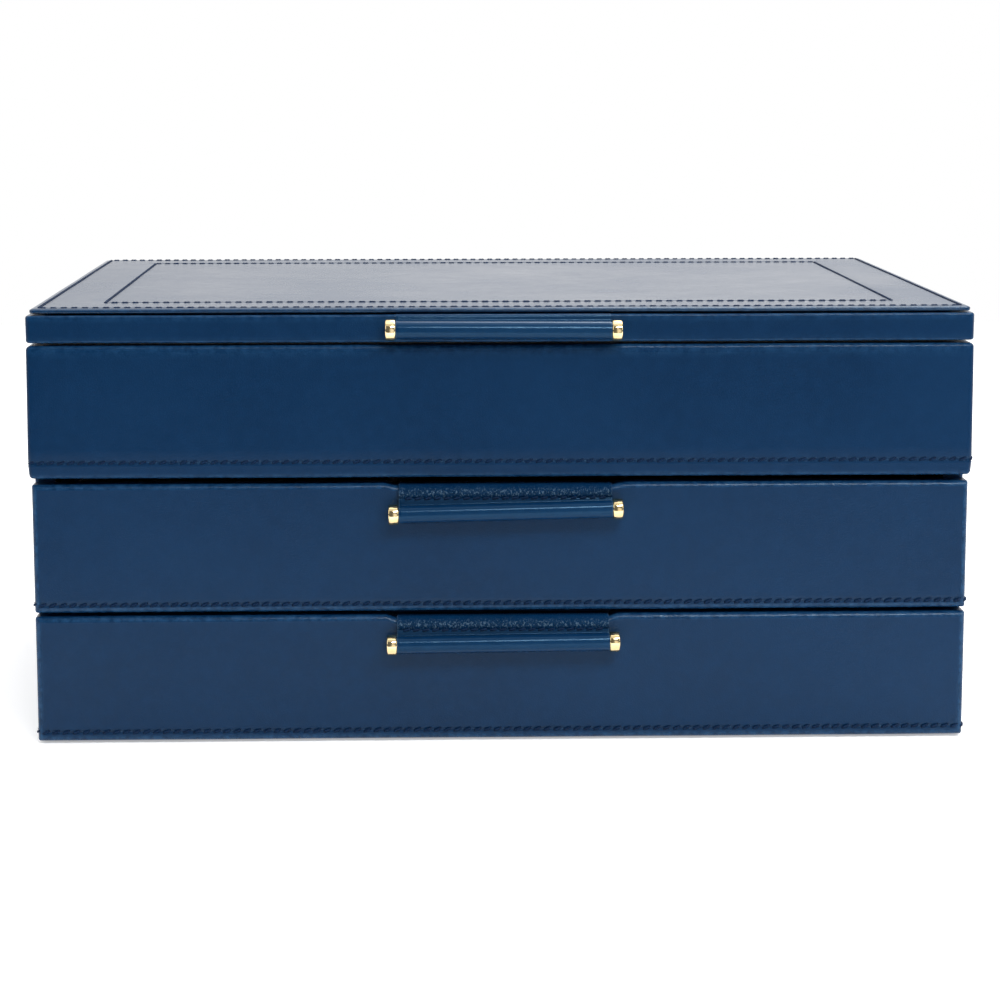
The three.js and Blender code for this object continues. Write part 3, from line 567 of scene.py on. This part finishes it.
def wrapped_ring(name, node, opening, depth_below, bend, groove_z, material, body):
    """A leather band drawn round a frame of boards and turned in at the top and bottom."""
    low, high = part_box(node)
    half_x, half_y = high.x, high.y
    counts = (int(half_x / (2.5 * MM)), int(half_y / (2.5 * MM)))
    outside = band_profile(low.z, high.z, opening, bend, groove_z)
    outside += [(depth_below, low.z, 0.0)]
    inside = [
        (depth_below, low.z + LEATHER, 0.0),
        (LEATHER, low.z + LEATHER, 0.0),
        (LEATHER, high.z - LEATHER, 0.0),
        (opening, high.z - LEATHER, 0.0),
    ]
    profile = outside + inside
    loops = [at_height(rounded_loop(half_x, half_y, EDGE_ROUND, inset, counts), z) for inset, z, _ in profile]
    wear = np.repeat([w for _, _, w in profile], len(loops[0]))
    verts, faces = loft(loops, closed_along=True)
    undulate(verts[: len(outside) * len(loops[0])], COVER_UNEVENNESS, 0.045)
    made = make_object(name, verts, faces, material, wear=wear)
    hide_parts(node)
    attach(made, body)


def lid_plate():
    """The stitched leather panel on the lid, rolled over at its edge, with two pressed stitch lines."""
    low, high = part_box("lid_top_pad")
    half_x, half_y = high.x, high.y
    bend = 0.5 * MM
    top = high.z - 0.05 * MM
    profile = [(9 * MM, low.z, 0.0)]
    profile += [(i, z, 0.4) for i, z in quarter(bend, low.z, 0.0, low.z + bend, 4, False)]
    rolled = quarter(0.0, top - PLATE_ROLL_DROP, PLATE_ROLL_WIDTH, top, 9, True)
    profile += [(inset, z, 0.5 if i < 6 else 0.1) for i, (inset, z) in enumerate(rolled)][:-1]
    for line in (PLATE_OUTER_STITCH, PLATE_INNER_STITCH):
        pressed = pressed_line(line, PLATE_LINE_WIDTH)
        profile += [(inset, top - depth, wear) for inset, depth, wear in pressed]
        profile += [(line + (3 + 4 * k) * MM, top, 0.0) for k in range(4)]
    profile += [(inset * MM, high.z, 0.0) for inset in (50, 65, 80, 95, 110)]
    counts = (66, 48)
    loops = [at_height(rounded_loop(half_x, half_y, EDGE_ROUND, inset, counts), z) for inset, z, _ in profile]
    wear = np.repeat([w for _, _, w in profile], len(loops[0]))
    verts, faces = loft(loops, cap_first=True, cap_last=True)
    undulate(verts, PLATE_UNEVENNESS, 0.05)
    made = make_object("lid_top_panel", verts, faces, LEATHER_LID, wear=wear)
    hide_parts("lid_top_pad")
    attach(made, "lid")
    lines = {"lid_edge_stitching": PLATE_OUTER_STITCH, "lid_panel_stitching": PLATE_INNER_STITCH}
    slant = math.radians(4)
    for name, line in lines.items():
        path = rectangle_path(half_x - line, half_y - line, 0.4 * MM, top - GROOVE_DEPTH)[0]
        up = np.tile([0.0, 0.0, 1.0], (len(path), 1))
        stitches(name, path, up, "lid", LID_STITCH_PITCH, LID_STITCH_LENGTH, slant, 0.6, closed=True)


def build_lid():
    gap = 0.3 * MM
    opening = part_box("lid_band_cover")[1].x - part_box("lid_panel")[1].x - gap
    wrapped_ring("lid_band", "lid_band_cover", opening, opening, BAND_EDGE_ROUND, None, LEATHER_CASE, "lid")
    lid_plate()
    soften("lid_panel", LEATHER_CASE, 0.0)
    for rail in ("front", "back", "left", "right"):
        soften(f"lid_rail_{rail}", SUEDE, 0.0)
    soften("lid_lining", SUEDE, 0.3 * MM)
    soften("lid_mirror", MIRROR, 0.5 * MM, 2)


# ---------------------------------------------------------------- upper tier and carcass


def build_tier():
    low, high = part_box("tier_cover")
    lip = high.x - abs(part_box("wall_left")[1].x)
    groove = low.z + TIER_STITCH_RISE
    wrapped_ring("tier_leather", "tier_cover", lip, 12 * MM, TIER_EDGE_ROUND, groove, LEATHER_CASE, "case")
    path, normals = rectangle_path(high.x - GROOVE_DEPTH, high.y - GROOVE_DEPTH, EDGE_ROUND, groove)
    stitches("tier_stitching", path, normals, "case", closed=True)
    for wall in ("front", "back", "left", "right"):
        soften(f"wall_{wall}", BOARD, 0.0)
    soften("deck_board", BOARD, 0.0)
    soften("compartment_lining", SUEDE, 0.5 * MM)
    for divider in ("middle", "front", "back"):
        soften(f"divider_{divider}", SUEDE, 1.4 * MM, 4)


def carcass_leather():
    """The leather round the sides and back of the drawer housing, turned over the front edges."""
    low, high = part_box("carcass_cover")
    front, back = low.y, high.y
    half = high.x
    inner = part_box("carcass_side_right")[0].x
    bend = EDGE_ROUND

    def corner(x, y, start, steps=6):
        """Points of a round corner about (x, y), each with its outward normal."""
        points = []
        for turn in np.linspace(start, start + math.pi / 2, steps + 1):
            out_x, out_y = math.cos(turn), math.sin(turn)
            points.append(((x + bend * out_x, y + bend * out_y), (out_x, out_y)))
        return points

    def straight(start, end, normal, step=6 * MM):
        """Points from start to end, both left out, each with the same normal."""
        return [(tuple(p), normal) for p in spread(start, end, step)[1:]]

    path = [((inner, front), (0.0, -1.0))]
    path += straight((inner, front), (half - bend, front), (0.0, -1.0))
    path += corner(half - bend, front + bend, -math.pi / 2)
    path += straight((half, front + bend), (half, back - bend), (1.0, 0.0))
    path += corner(half - bend, back - bend, 0.0)
    path += straight((half - bend, back), (-half + bend, back), (0.0, 1.0))
    path += corner(-half + bend, back - bend, math.pi / 2)
    path += straight((-half, back - bend), (-half, front + bend), (-1.0, 0.0))
    path += corner(-half + bend, front + bend, math.pi)
    path += straight((-half + bend, front), (-inner, front), (0.0, -1.0))
    path += [((-inner, front), (0.0, -1.0))]

    lip = 0.5 * MM
    heights = [low.z + lip, *np.linspace(low.z + 6 * MM, high.z - 6 * MM, 12), high.z - lip]
    profile = [(0.0, z, 0.0) for z in heights]
    profile += [(lip, high.z, 0.3), (LEATHER, high.z, 0.0), (LEATHER, low.z, 0.0), (lip, low.z, 0.3)]
    loops = []
    for (x, y), (nx, ny) in path:
        loops.append(np.array([(x - nx * inset, y - ny * inset, z) for inset, z, _ in profile]))
    wear = np.tile([w for _, _, w in profile], len(loops))
    verts, faces = loft(loops, cap_first=True, cap_last=True)
    undulate(verts, COVER_UNEVENNESS, 0.05)
    made = make_object("carcass_leather", verts, faces, LEATHER_CASE, wear=wear)
    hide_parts("carcass_cover")
    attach(made, "case")

    z = low.z + LOWER_STITCH_RISE
    seam = [(p, n) for p, n in path if p[1] > front + bend]
    line = [(p[0], p[1], z) for p, _ in seam]
    outward = [(n[0], n[1], 0.0) for _, n in seam]
    stitches("carcass_stitching", line, outward, "case")


def build_carcass():
    carcass_leather()
    soften("base_felt", FELT, 0.2 * MM, 2)
    for node in ("base_board", "carcass_side_left", "carcass_side_right", "carcass_back"):
        soften(node, BOARD, 0.0)
    soften("drawer_shelf", LEATHER_CASE, 0.5 * MM)


# ---------------------------------------------------------------- drawers


def drawer_front(name, stitch_rise):
    """One leather-wrapped front: a rounded block with a shallow dip in its top edge for the strap."""
    low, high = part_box(f"{name}_front_cover")
    strap_low, strap_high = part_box(f"{name}_pull_strap")
    half_x = high.x
    half_z = (high.z - low.z) / 2
    centre_z = (high.z + low.z) / 2
    front, back = low.y, high.y
    bend = EDGE_ROUND
    counts = (112, 16)
    profile = [(20 * MM, back, 0.0), (8 * MM, back, 0.0)]
    profile += [(i, y, 0.3) for i, y in quarter(0.6 * MM, back, 0.0, back - 0.6 * MM, 3, False)]
    profile += [(0.0, y, 0.0) for y in np.linspace(back - 2 * MM, front + bend + 1 * MM, 3)]
    rolled = quarter(0.0, front + bend, bend, front, 7, True)
    # Paler rolled edge: partly rubbed wear and partly a painted highlight.
    profile += [(i, y, 0.85 if 1 < k < 7 else 0.3) for k, (i, y) in enumerate(rolled)]
    profile += [(inset, front, 0.0) for inset, _, _ in pressed_line(stitch_rise, FRONT_LINE_WIDTH)]
    profile += [(inset * MM, front, 0.0) for inset in (5, 6.5, 8, 11, 14, 17, 20)]
    loops = []
    for inset, y, _ in profile:
        loop = rounded_loop(half_x, half_z, FRONT_CORNER_ROUND, inset, counts)
        loops.append(np.column_stack([loop[:, 0], np.full(len(loop), y), loop[:, 1] + centre_z]))
    wear = np.repeat([w for _, _, w in profile], len(loops[0]))
    verts, faces = loft(loops, cap_first=True, cap_last=True)
    middle = (strap_low.x + strap_high.x) / 2
    flat = (strap_high.x - strap_low.x) / 2 + 0.5 * MM
    seam = low.z + stitch_rise
    for index, point in enumerate(verts):
        on_face = point[1] < front + 0.1 * MM
        press = max(0.0, 1 - abs(point[2] - seam) / FRONT_LINE_WIDTH) if on_face else 0.0
        point[1] += GROOVE_DEPTH * press
        # Painted shade: the leather is darkened along the pressed stitch groove.
        wear[index] -= 0.6 * press
        away = abs(point[0] - middle) - flat
        dip = 0.5 + 0.5 * math.cos(math.pi * min(max(away / NOTCH_RAMP, 0), 1))
        near_top = min(max((point[2] - (high.z - NOTCH_REACH)) / (NOTCH_REACH - 1 * MM), 0), 1)
        point[2] -= NOTCH_DEPTH * dip * near_top
    undulate(verts, COVER_UNEVENNESS, 0.045)
    made = make_object(f"{name}_front_leather", verts, faces, LEATHER_FRONT, wear=wear)
    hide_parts(f"{name}_front_cover", f"{name}_front_board")
    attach(made, f"{name}_drawer")

    reach = front + bend
    line = [(-half_x, y, seam) for y in np.linspace(back - 1 * MM, reach, 6)]
    outward = [(-1.0, 0.0, 0.0)] * 6
    for t in np.linspace(0, math.pi / 2, 7)[1:]:
        n = (-math.cos(t), -math.sin(t), 0.0)
        line.append((-half_x + bend + bend * n[0], reach + bend * n[1], seam))
        outward.append(n)
    across = [(x, front, seam) for x in np.linspace(-half_x + bend, half_x - bend, 60)[1:-1]]
    line += across
    outward += [(0.0, -1.0, 0.0)] * len(across)
    for t in np.linspace(math.pi / 2, 0, 7):
        n = (math.cos(t), -math.sin(t), 0.0)
        line.append((half_x - bend + bend * n[0], reach + bend * n[1], seam))
        outward.append(n)
    line += [(half_x, y, seam) for y in np.linspace(reach, back - 1 * MM, 6)[1:]]
    outward += [(1.0, 0.0, 0.0)] * 5
    stitches(f"{name}_front_stitching", line, outward, f"{name}_drawer")


def build_drawer(name, stitch_rise):
    drawer_front(name, stitch_rise)
    for part in ("left", "right", "back"):
        soften(f"{name}_drawer_{part}", LEATHER_CASE, 1.0 * MM)
    soften(f"{name}_drawer_bottom", BOARD, 0.3 * MM)
    soften(f"{name}_drawer_lining", SUEDE, 0.3 * MM)
    soften(f"{name}_drawer_divider", SUEDE, 1.4 * MM, 4)


# ---------------------------------------------------------------- pulls


def smooth_path(points, steps):
    """A Catmull-Rom curve through the points."""
    points = np.asarray(points, float)
    padded = np.vstack([2 * points[0] - points[1], points, 2 * points[-1] - points[-2]])
    curve = []
    for i in range(1, len(padded) - 2):
        p0, p1, p2, p3 = padded[i - 1], padded[i], padded[i + 1], padded[i + 2]
        for t in np.linspace(0, 1, steps, endpoint=False):
            curve.append(0.5 * (2 * p1 + (p2 - p0) * t + (2 * p0 - 5 * p1 + 4 * p2 - p3) * t**2
                                + (3 * p1 - p0 - 3 * p2 + p3) * t**3))
    curve.append(padded[-2])
    return np.array(curve)


def strap_route(name, rod_out, rod_z, mid_radius, top):
    """The strap's middle line: over the top edge, down, round the bar and back up.

    Points are (out from the face, z); the tables hold millimetres and the height below the top edge.
    """
    if name == "lid":
        lead = [(-6.0, -0.12), (-3.0, -0.12), (-1.0, -0.1), (0.05, -0.35), (0.42, -1.2)]
        lead += [(0.7, -2.0), (1.4, -2.7)]
        first, last = 118, -205
        tail = [(0.75, -3.6), (0.4, -2.9)]
    else:
        lead = [(-7.0, -0.75), (-3.2, -0.75), (-1.0, -0.95), (0.35, -1.9), (1.05, -3.0), (1.3, -4.3)]
        lead += [(1.3, -5.6), (1.3, -6.6), (1.65, -7.3)]
        first, last = 121, -213
        tail = [(0.85, -7.3), (0.52, -6.2), (0.45, -4.8)]
    lead = [(out * MM, top + z * MM) for out, z in lead]
    tail = [(out * MM, top + z * MM) for out, z in tail]
    turn = [
        (rod_out + mid_radius * math.cos(math.radians(a)), rod_z + mid_radius * math.sin(math.radians(a)))
        for a in np.linspace(first, last, 15)
    ]
    return smooth_path(lead + turn + tail, 5)


def build_strap(name, body, pull, top, face_y):
    """The leather strap: folded over the top edge, stitched, and wrapped round the bar between its knobs."""
    low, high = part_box(f"{name}_pull_strap")
    bar_low, bar_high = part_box(f"{name}_pull_bar")
    joint = next(j for j in frame["joints"] if j["child"] == pull)
    pivot = Vector(joint["pos_m"])
    knob = (bar_high.y - bar_low.y) / 2
    rod_y, rod_z = (bar_high.y + bar_low.y) / 2, (bar_high.z + bar_low.z) / 2
    tilt = (bar_high.z - bar_low.z - 2 * knob) / (bar_high.x - bar_low.x)
    tilt *= -1 if name == "lid" else 1
    thickness = STRAP_THICKNESS if name != "lid" else LID_STRAP_THICKNESS
    outer = rod_y - low.y
    route = strap_route(name, face_y - rod_y, rod_z, outer - thickness / 2, top)
    legs = np.gradient(route, axis=0)
    normals = np.column_stack([-legs[:, 1], legs[:, 0]])
    normals /= np.linalg.norm(normals, axis=1)[:, None]
    if np.dot(normals[len(normals) // 2], route[len(route) // 2] - np.array([face_y - rod_y, rod_z])) < 0:
        normals = -normals
    start_x, end_x = low.x - STRAP_REACH, high.x + STRAP_REACH
    centre_x = (low.x + high.x) / 2
    sleeve_top = rod_z + outer
    stitch_z = top - STRAP_STITCH_DROP
    loops, wear, creased = [], [], []
    for x in np.linspace(start_x, end_x, 150):
        at_end = min(x - start_x, end_x - x)
        pinch = 1 - 0.3 * max(0.0, 1 - at_end / (0.5 * MM)) ** 2
        outer_side, inner_side, zones = [], [], []
        for index, (out, z) in enumerate(route):
            share = index / (len(route) - 1)
            before_bar = share < 0.42
            if name != "lid" and before_bar:
                zone = math.exp(-(((z - (stitch_z + 1.9 * MM)) / (1.3 * MM)) ** 2))
                dent = STRAP_SEAM_DENT * math.exp(-(((z - stitch_z) / (0.5 * MM)) ** 2))
            else:
                zone, dent = 0.0, 0.0
            pleat = noise.noise(Vector((x * 560, share * 16, 3.1)))
            pleat += 0.6 * noise.noise(Vector((x * 1150, share * 34, 7.7)))
            normal = normals[index]
            half = thickness / 2 * pinch
            lift = pleat * (CREASE_HEIGHT * zone + 0.01 * MM) - dent
            outer_side.append((out + normal[0] * (half + lift), z + normal[1] * (half + lift)))
            inner_side.append((out - normal[0] * half, z - normal[1] * half))
            zones.append(zone)
        points = []
        for out, z in outer_side + inner_side[::-1]:
            hang = min(max((pivot.z - z) / (pivot.z - sleeve_top), 0), 1)
            points.append((x, face_y - out, z + tilt * hang * (x - centre_x)))
        loops.append(np.array(points))
        wear += [1.0 if at_end < 0.4 * MM else 0.03] * len(points)
        creased += zones + zones[::-1]
    verts, faces = loft(loops, cap_first=True, cap_last=True)
    marks = {"wear": wear, "creased": creased}
    made = make_object(f"{name}_strap", verts, faces, LEATHER_STRAP, sharp_angle=55, **marks)
    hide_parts(f"{name}_pull_strap")
    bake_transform(made)

    if name != "lid":
        front_y = face_y - 1.25 * MM - thickness / 2 + 0.25 * MM
        line = [(x, front_y, stitch_z) for x in np.linspace(start_x + 0.5 * MM, end_x - 0.5 * MM, 40)]
        outward = [(0.0, -0.99, 0.1)] * len(line)
        sizes = (STRAP_STITCH_PITCH, STRAP_STITCH_LENGTH, math.radians(12))
        stitches(f"{name}_strap_stitching", line, outward, body, *sizes)


def build_bar(name, pull):
    """A brass bar with a turned knob at each end."""
    low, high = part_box(f"{name}_pull_bar")
    radius = (high.y - low.y) / 2
    centre = (low + high) / 2
    half = (high.x - low.x) / 2
    rise = (high.z - low.z - 2 * radius) * (-1 if name == "lid" else 1)
    angle = math.atan2(rise, 2 * half)
    length = half / math.cos(angle) - radius * abs(math.tan(angle)) * 0.5
    neck = length - KNOB_LENGTH
    edge = KNOB_EDGE
    side = [(BAR_RADIUS, 0.0, 0.0), (BAR_RADIUS, neck, 0.0)]
    side += [(radius - edge, neck, 0.6), (radius - edge * 0.3, neck + edge * 0.3, 0.6)]
    side += [(radius, neck + edge, 0.0), (radius, neck + KNOB_LENGTH / 2, 0.0), (radius, length - edge, 0.0)]
    side += [(radius - edge * 0.3, length - edge * 0.3, 0.2), (radius - edge, length, 0.2)]
    side += [(radius * 0.55, length + 0.04 * MM, 0.0), (0.08 * MM, length + 0.05 * MM, 0.0)]
    mirrored = [(r, -x, w) for r, x, w in side[1:]][::-1]
    profile = mirrored + side
    sides = 72
    loops = [np.array([(x, y, z) for y, z in circle(r, sides)]) for r, x, _ in profile]
    verts, faces = loft(loops, cap_first=True, cap_last=True)
    wear = np.repeat([w for _, _, w in profile], sides)
    made = make_object(f"{name}_bar", verts, faces, POLISHED_BRASS, sharp_angle=50, wear=wear)
    made.data.transform(Matrix.Translation(centre) @ Matrix.Rotation(-angle, 4, "Y"))
    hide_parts(f"{name}_pull_bar")
    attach(made, pull)


def build_pulls():
    for name in ("lid", "upper", "lower"):
        cover = "lid_band_cover" if name == "lid" else f"{name}_front_cover"
        body = "lid" if name == "lid" else f"{name}_drawer"
        low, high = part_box(cover)
        build_strap(name, body, f"{name}_pull", high.z, low.y)
        build_bar(name, f"{name}_pull")


# ---------------------------------------------------------------- ring rolls


def evaluated_copy(piece):
    """The piece's mesh with its modifiers applied."""
    bpy.context.view_layer.update()
    return bpy.data.meshes.new_from_object(piece.evaluated_get(bpy.context.evaluated_depsgraph_get()))


def replace_mesh(piece, mesh):
    """Gives the piece a new mesh in place of its old one and its modifiers."""
    piece.modifiers.clear()
    piece.data = mesh


def roll_start(index):
    """A slack foam roll, flat underneath and round on top, a little smaller than the space it fills."""
    low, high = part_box(f"ring_roll_{index}")
    centre = (low + high) / 2
    half = (high - low) / 2
    rows, sides = 44, 24
    loops = []
    for row in range(rows + 1):
        t = row / rows * 2 - 1
        taper = max(1 - abs(t) ** 30, 0.0) ** 0.5 * 0.92 + 0.08
        loop = []
        for side in range(sides):
            angle = 2 * math.pi * side / sides
            c, s = math.cos(angle), math.sin(angle)
            y = half.y * ROLL_SLACK * math.copysign(abs(c) ** 0.8, c)
            z = half.z * ROLL_SLACK * math.copysign(abs(s) ** (0.6 if s < 0 else 0.9), s)
            loop.append((half.x * 0.975 * t, y * taper, z * taper))
        loops.append(np.array(loop) + np.array(centre))
    verts, faces = loft(loops, cap_first=True, cap_last=True)
    roll = make_object(f"ring_cushion_{index}", verts, faces, VELVET, sharp_angle=180)
    remesh = roll.modifiers.new("even faces", "REMESH")
    remesh.mode = "VOXEL"
    remesh.voxel_size = ROLL_FACE_SIZE
    replace_mesh(roll, evaluated_copy(roll))
    return roll


def swell(rolls, pressure=4.0, frames=20, cap=1.6 * MM):
    """Blows the rolls up as cloth under pressure, and keeps the result."""
    for roll in rolls:
        cloth = roll.modifiers.new("swell", "CLOTH")
        cloth.settings.use_pressure = True
        cloth.settings.uniform_pressure_force = pressure
        cloth.settings.quality = 6
        cloth.settings.tension_stiffness = 12
        cloth.settings.compression_stiffness = 12
        cloth.settings.effector_weights.gravity = 0
        cloth.point_cache.frame_start = 1
        cloth.point_cache.frame_end = frames
    scene = bpy.context.scene
    for number in range(1, frames + 1):
        scene.frame_set(number)
    for roll in rolls:
        swollen = evaluated_copy(roll)
        for before, after in zip(roll.data.vertices, swollen.vertices):
            move = after.co - before.co
            if move.length > cap:
                after.co = before.co + move.normalized() * cap
        replace_mesh(roll, swollen)
    scene.frame_set(1)


def build_ring_rolls():
    rolls = [roll_start(index) for index in range(1, 5)]
    swell(rolls)
    for index, roll in enumerate(rolls, start=1):
        low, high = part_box(f"ring_roll_{index}")
        smooth = roll.modifiers.new("fine surface", "SUBSURF")
        smooth.levels = smooth.render_levels = 1
        replace_mesh(roll, evaluated_copy(roll))
        for vertex in roll.data.vertices:
            from_end = min(vertex.co.x - low.x, high.x - vertex.co.x)
            around = math.atan2(vertex.co.z - (low.z + high.z) / 2, vertex.co.y - (low.y + high.y) / 2)
            fold = ROLL_FOLD_DEPTH * math.cos(around * ROLL_FOLDS + index)
            gather = math.exp(-from_end / (5 * MM)) * fold
            seam = ROLL_SEAM_DEPTH * math.exp(-(((from_end - ROLL_SEAM_FROM_END) / (0.9 * MM)) ** 2))
            out = Vector((0, math.cos(around), math.sin(around)))
            vertex.co += out * (gather - seam)
            for axis in range(3):
                vertex.co[axis] = min(max(vertex.co[axis], low[axis]), high[axis])
        roll.data.polygons.foreach_set("use_smooth", [True] * len(roll.data.polygons))
        roll.data.materials.clear()
        roll.data.materials.append(VELVET)
        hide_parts(f"ring_roll_{index}")
        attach(roll, "case")


# ---------------------------------------------------------------- hinges


def screw(name, centre, body):
    """A small plain raised-head screw on the back face."""
    loops = []
    for share, rise in ((1.0, -0.3), (1.0, 0.05), (0.93, 0.3), (0.75, 0.55), (0.45, 0.72), (0.05, 0.78)):
        ring = [(x, rise * MM, z) for x, z in circle(SCREW_RADIUS * share, 28)]
        loops.append(np.array(ring) + np.array(centre))
    verts, faces = loft(loops, cap_first=True, cap_last=True)
    head = make_object(name, verts, faces, HINGE_BRASS, sharp_angle=40)
    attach(head, body)


def build_hinges():
    leaf_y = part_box("tier_cover")[1].y + HINGE_LEAF_STAND
    for side in ("left", "right"):
        for body in ("case", "lid"):
            node = f"hinge_{body}_leaf_{side}"
            soften(node, HINGE_BRASS, 0.18 * MM, 2)
            low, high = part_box(node)
            z = low.z + SCREW_FROM_EDGE if body == "case" else high.z - SCREW_FROM_EDGE
            for number, shift in enumerate((-SCREW_SHIFT, SCREW_SHIFT), start=1):
                centre = ((low.x + high.x) / 2 + shift, leaf_y, z)
                screw(f"hinge_{body}_screw_{side}_{number}", centre, body)
        soften(f"hinge_pin_{side}", HINGE_BRASS, 0.0)


# ---------------------------------------------------------------- studio


def build_studio():
    """A pale floor, a world with a white backdrop and dark sides, and four softboxes."""
    floor_mesh = bpy.data.meshes.new("floor")
    left, right, front, back = FLOOR_EDGES
    corners = [(left, front, 0), (right, front, 0), (right, back, 0), (left, back, 0)]
    floor_mesh.from_pydata(corners, [], [(0, 1, 2, 3)])
    floor = bpy.data.objects.new("floor", floor_mesh)
    bpy.context.scene.collection.objects.link(floor)
    paper = Shader("pale_floor")
    speckle = paper.noise(30.0, 4.0)
    paper.set(Base_Color=paper.mix(speckle, (0.88, 0.88, 0.88), (0.91, 0.91, 0.91)), Roughness=0.8)
    paper.set(Specular_IOR_Level=0.2, Emission_Color=(1.0, 1.0, 1.0, 1.0), Emission_Strength=0.4)
    floor_mesh.materials.append(paper.material)

    world = bpy.data.worlds.new("studio")
    bpy.context.scene.world = world
    world.use_nodes = True
    tree = world.node_tree
    background = tree.nodes["Background"]
    coordinates = tree.nodes.new("ShaderNodeTexCoord")
    split = tree.nodes.new("ShaderNodeSeparateXYZ")
    tree.links.new(coordinates.outputs["Generated"], split.inputs[0])

    def blend_in(source, start, end, dark, bright):
        """A soft step from dark to bright as the source goes from start to end."""
        made = tree.nodes.new("ShaderNodeMapRange")
        made.interpolation_type = "SMOOTHSTEP"
        tree.links.new(source, made.inputs["Value"])
        for key, value in zip(("From Min", "From Max", "To Min", "To Max"), (start, end, dark, bright)):
            made.inputs[key].default_value = value
        return made.outputs[0]

    def combine(operation, first, second, third=0.0):
        made = tree.nodes.new("ShaderNodeMath")
        made.operation = operation
        for socket, value in zip(made.inputs, (first, second, third)):
            if isinstance(value, bpy.types.NodeSocket):
                tree.links.new(value, socket)
            else:
                socket.default_value = value
        return made.outputs[0]

    lean = combine("MULTIPLY_ADD", split.outputs["Z"], 0.9, split.outputs["Y"])
    backdrop = blend_in(lean, 0.5, 0.85, 0.15, 1.1)
    backdrop = combine("MULTIPLY", backdrop, blend_in(split.outputs["X"], -0.13, 0.0, 0.9, 1.0))
    ceiling = blend_in(split.outputs["Z"], 0.72, 0.8, 0.0, 0.6)
    facing = blend_in(split.outputs["Y"], -0.85, -0.96, 0.0, 1.0)
    glow = combine("MULTIPLY", facing, blend_in(split.outputs["X"], -0.1, 0.08, 0.0, 0.75))
    light = combine("ADD", combine("ADD", backdrop, ceiling), glow)
    seen = tree.nodes.new("ShaderNodeLightPath")
    choose = tree.nodes.new("ShaderNodeMix")
    tree.links.new(seen.outputs["Is Camera Ray"], choose.inputs["Factor"])
    tree.links.new(light, choose.inputs["A"])
    choose.inputs["B"].default_value = 1.0
    tree.links.new(choose.outputs["Result"], background.inputs["Strength"])
    background.inputs["Color"].default_value = (1, 1, 1, 1)

    def softbox(name, place, target, width, height, power):
        data = bpy.data.lights.new(name, "AREA")
        data.shape = "RECTANGLE"
        data.size, data.size_y = width, height
        data.energy = power
        light = bpy.data.objects.new(name, data)
        bpy.context.scene.collection.objects.link(light)
        light.location = place
        light.rotation_euler = (Vector(target) - Vector(place)).to_track_quat("-Z", "Y").to_euler()

    softbox("top_softbox", (0.4, 0.36, 1.15), (0.05, 0.0, 0.1), 1.0, 0.4, 6.0)
    softbox("front_strip", (0.42, -0.98, 1.02), (0.05, -0.12, 0.1), 0.95, 0.2, 13.0)
    softbox("right_softbox", (1.5, -0.5, 0.8), (0.1, -0.1, 0.1), 0.8, 1.0, 4.5)
    softbox("left_softbox", (-1.5, -0.5, 0.8), (-0.1, -0.1, 0.1), 0.8, 1.0, 4.0)


def build_camera():
    """The photo's view: from the front, a little above and to the left of the middle."""
    data = bpy.data.cameras.new("camera")
    data.sensor_width = 36.0
    data.lens = CAMERA_LENS
    camera = bpy.data.objects.new("camera", data)
    bpy.context.scene.collection.objects.link(camera)
    camera.location = CAMERA_PLACE
    camera.rotation_euler = CAMERA_TURN
    bpy.context.scene.camera = camera
    bpy.context.scene.view_settings.view_transform = "Standard"


build_camera()
build_studio()
build_lid()
build_tier()
build_carcass()
build_drawer("upper", UPPER_STITCH_RISE)
build_drawer("lower", LOWER_STITCH_RISE)
build_pulls()
build_ring_rolls()
build_hinges()
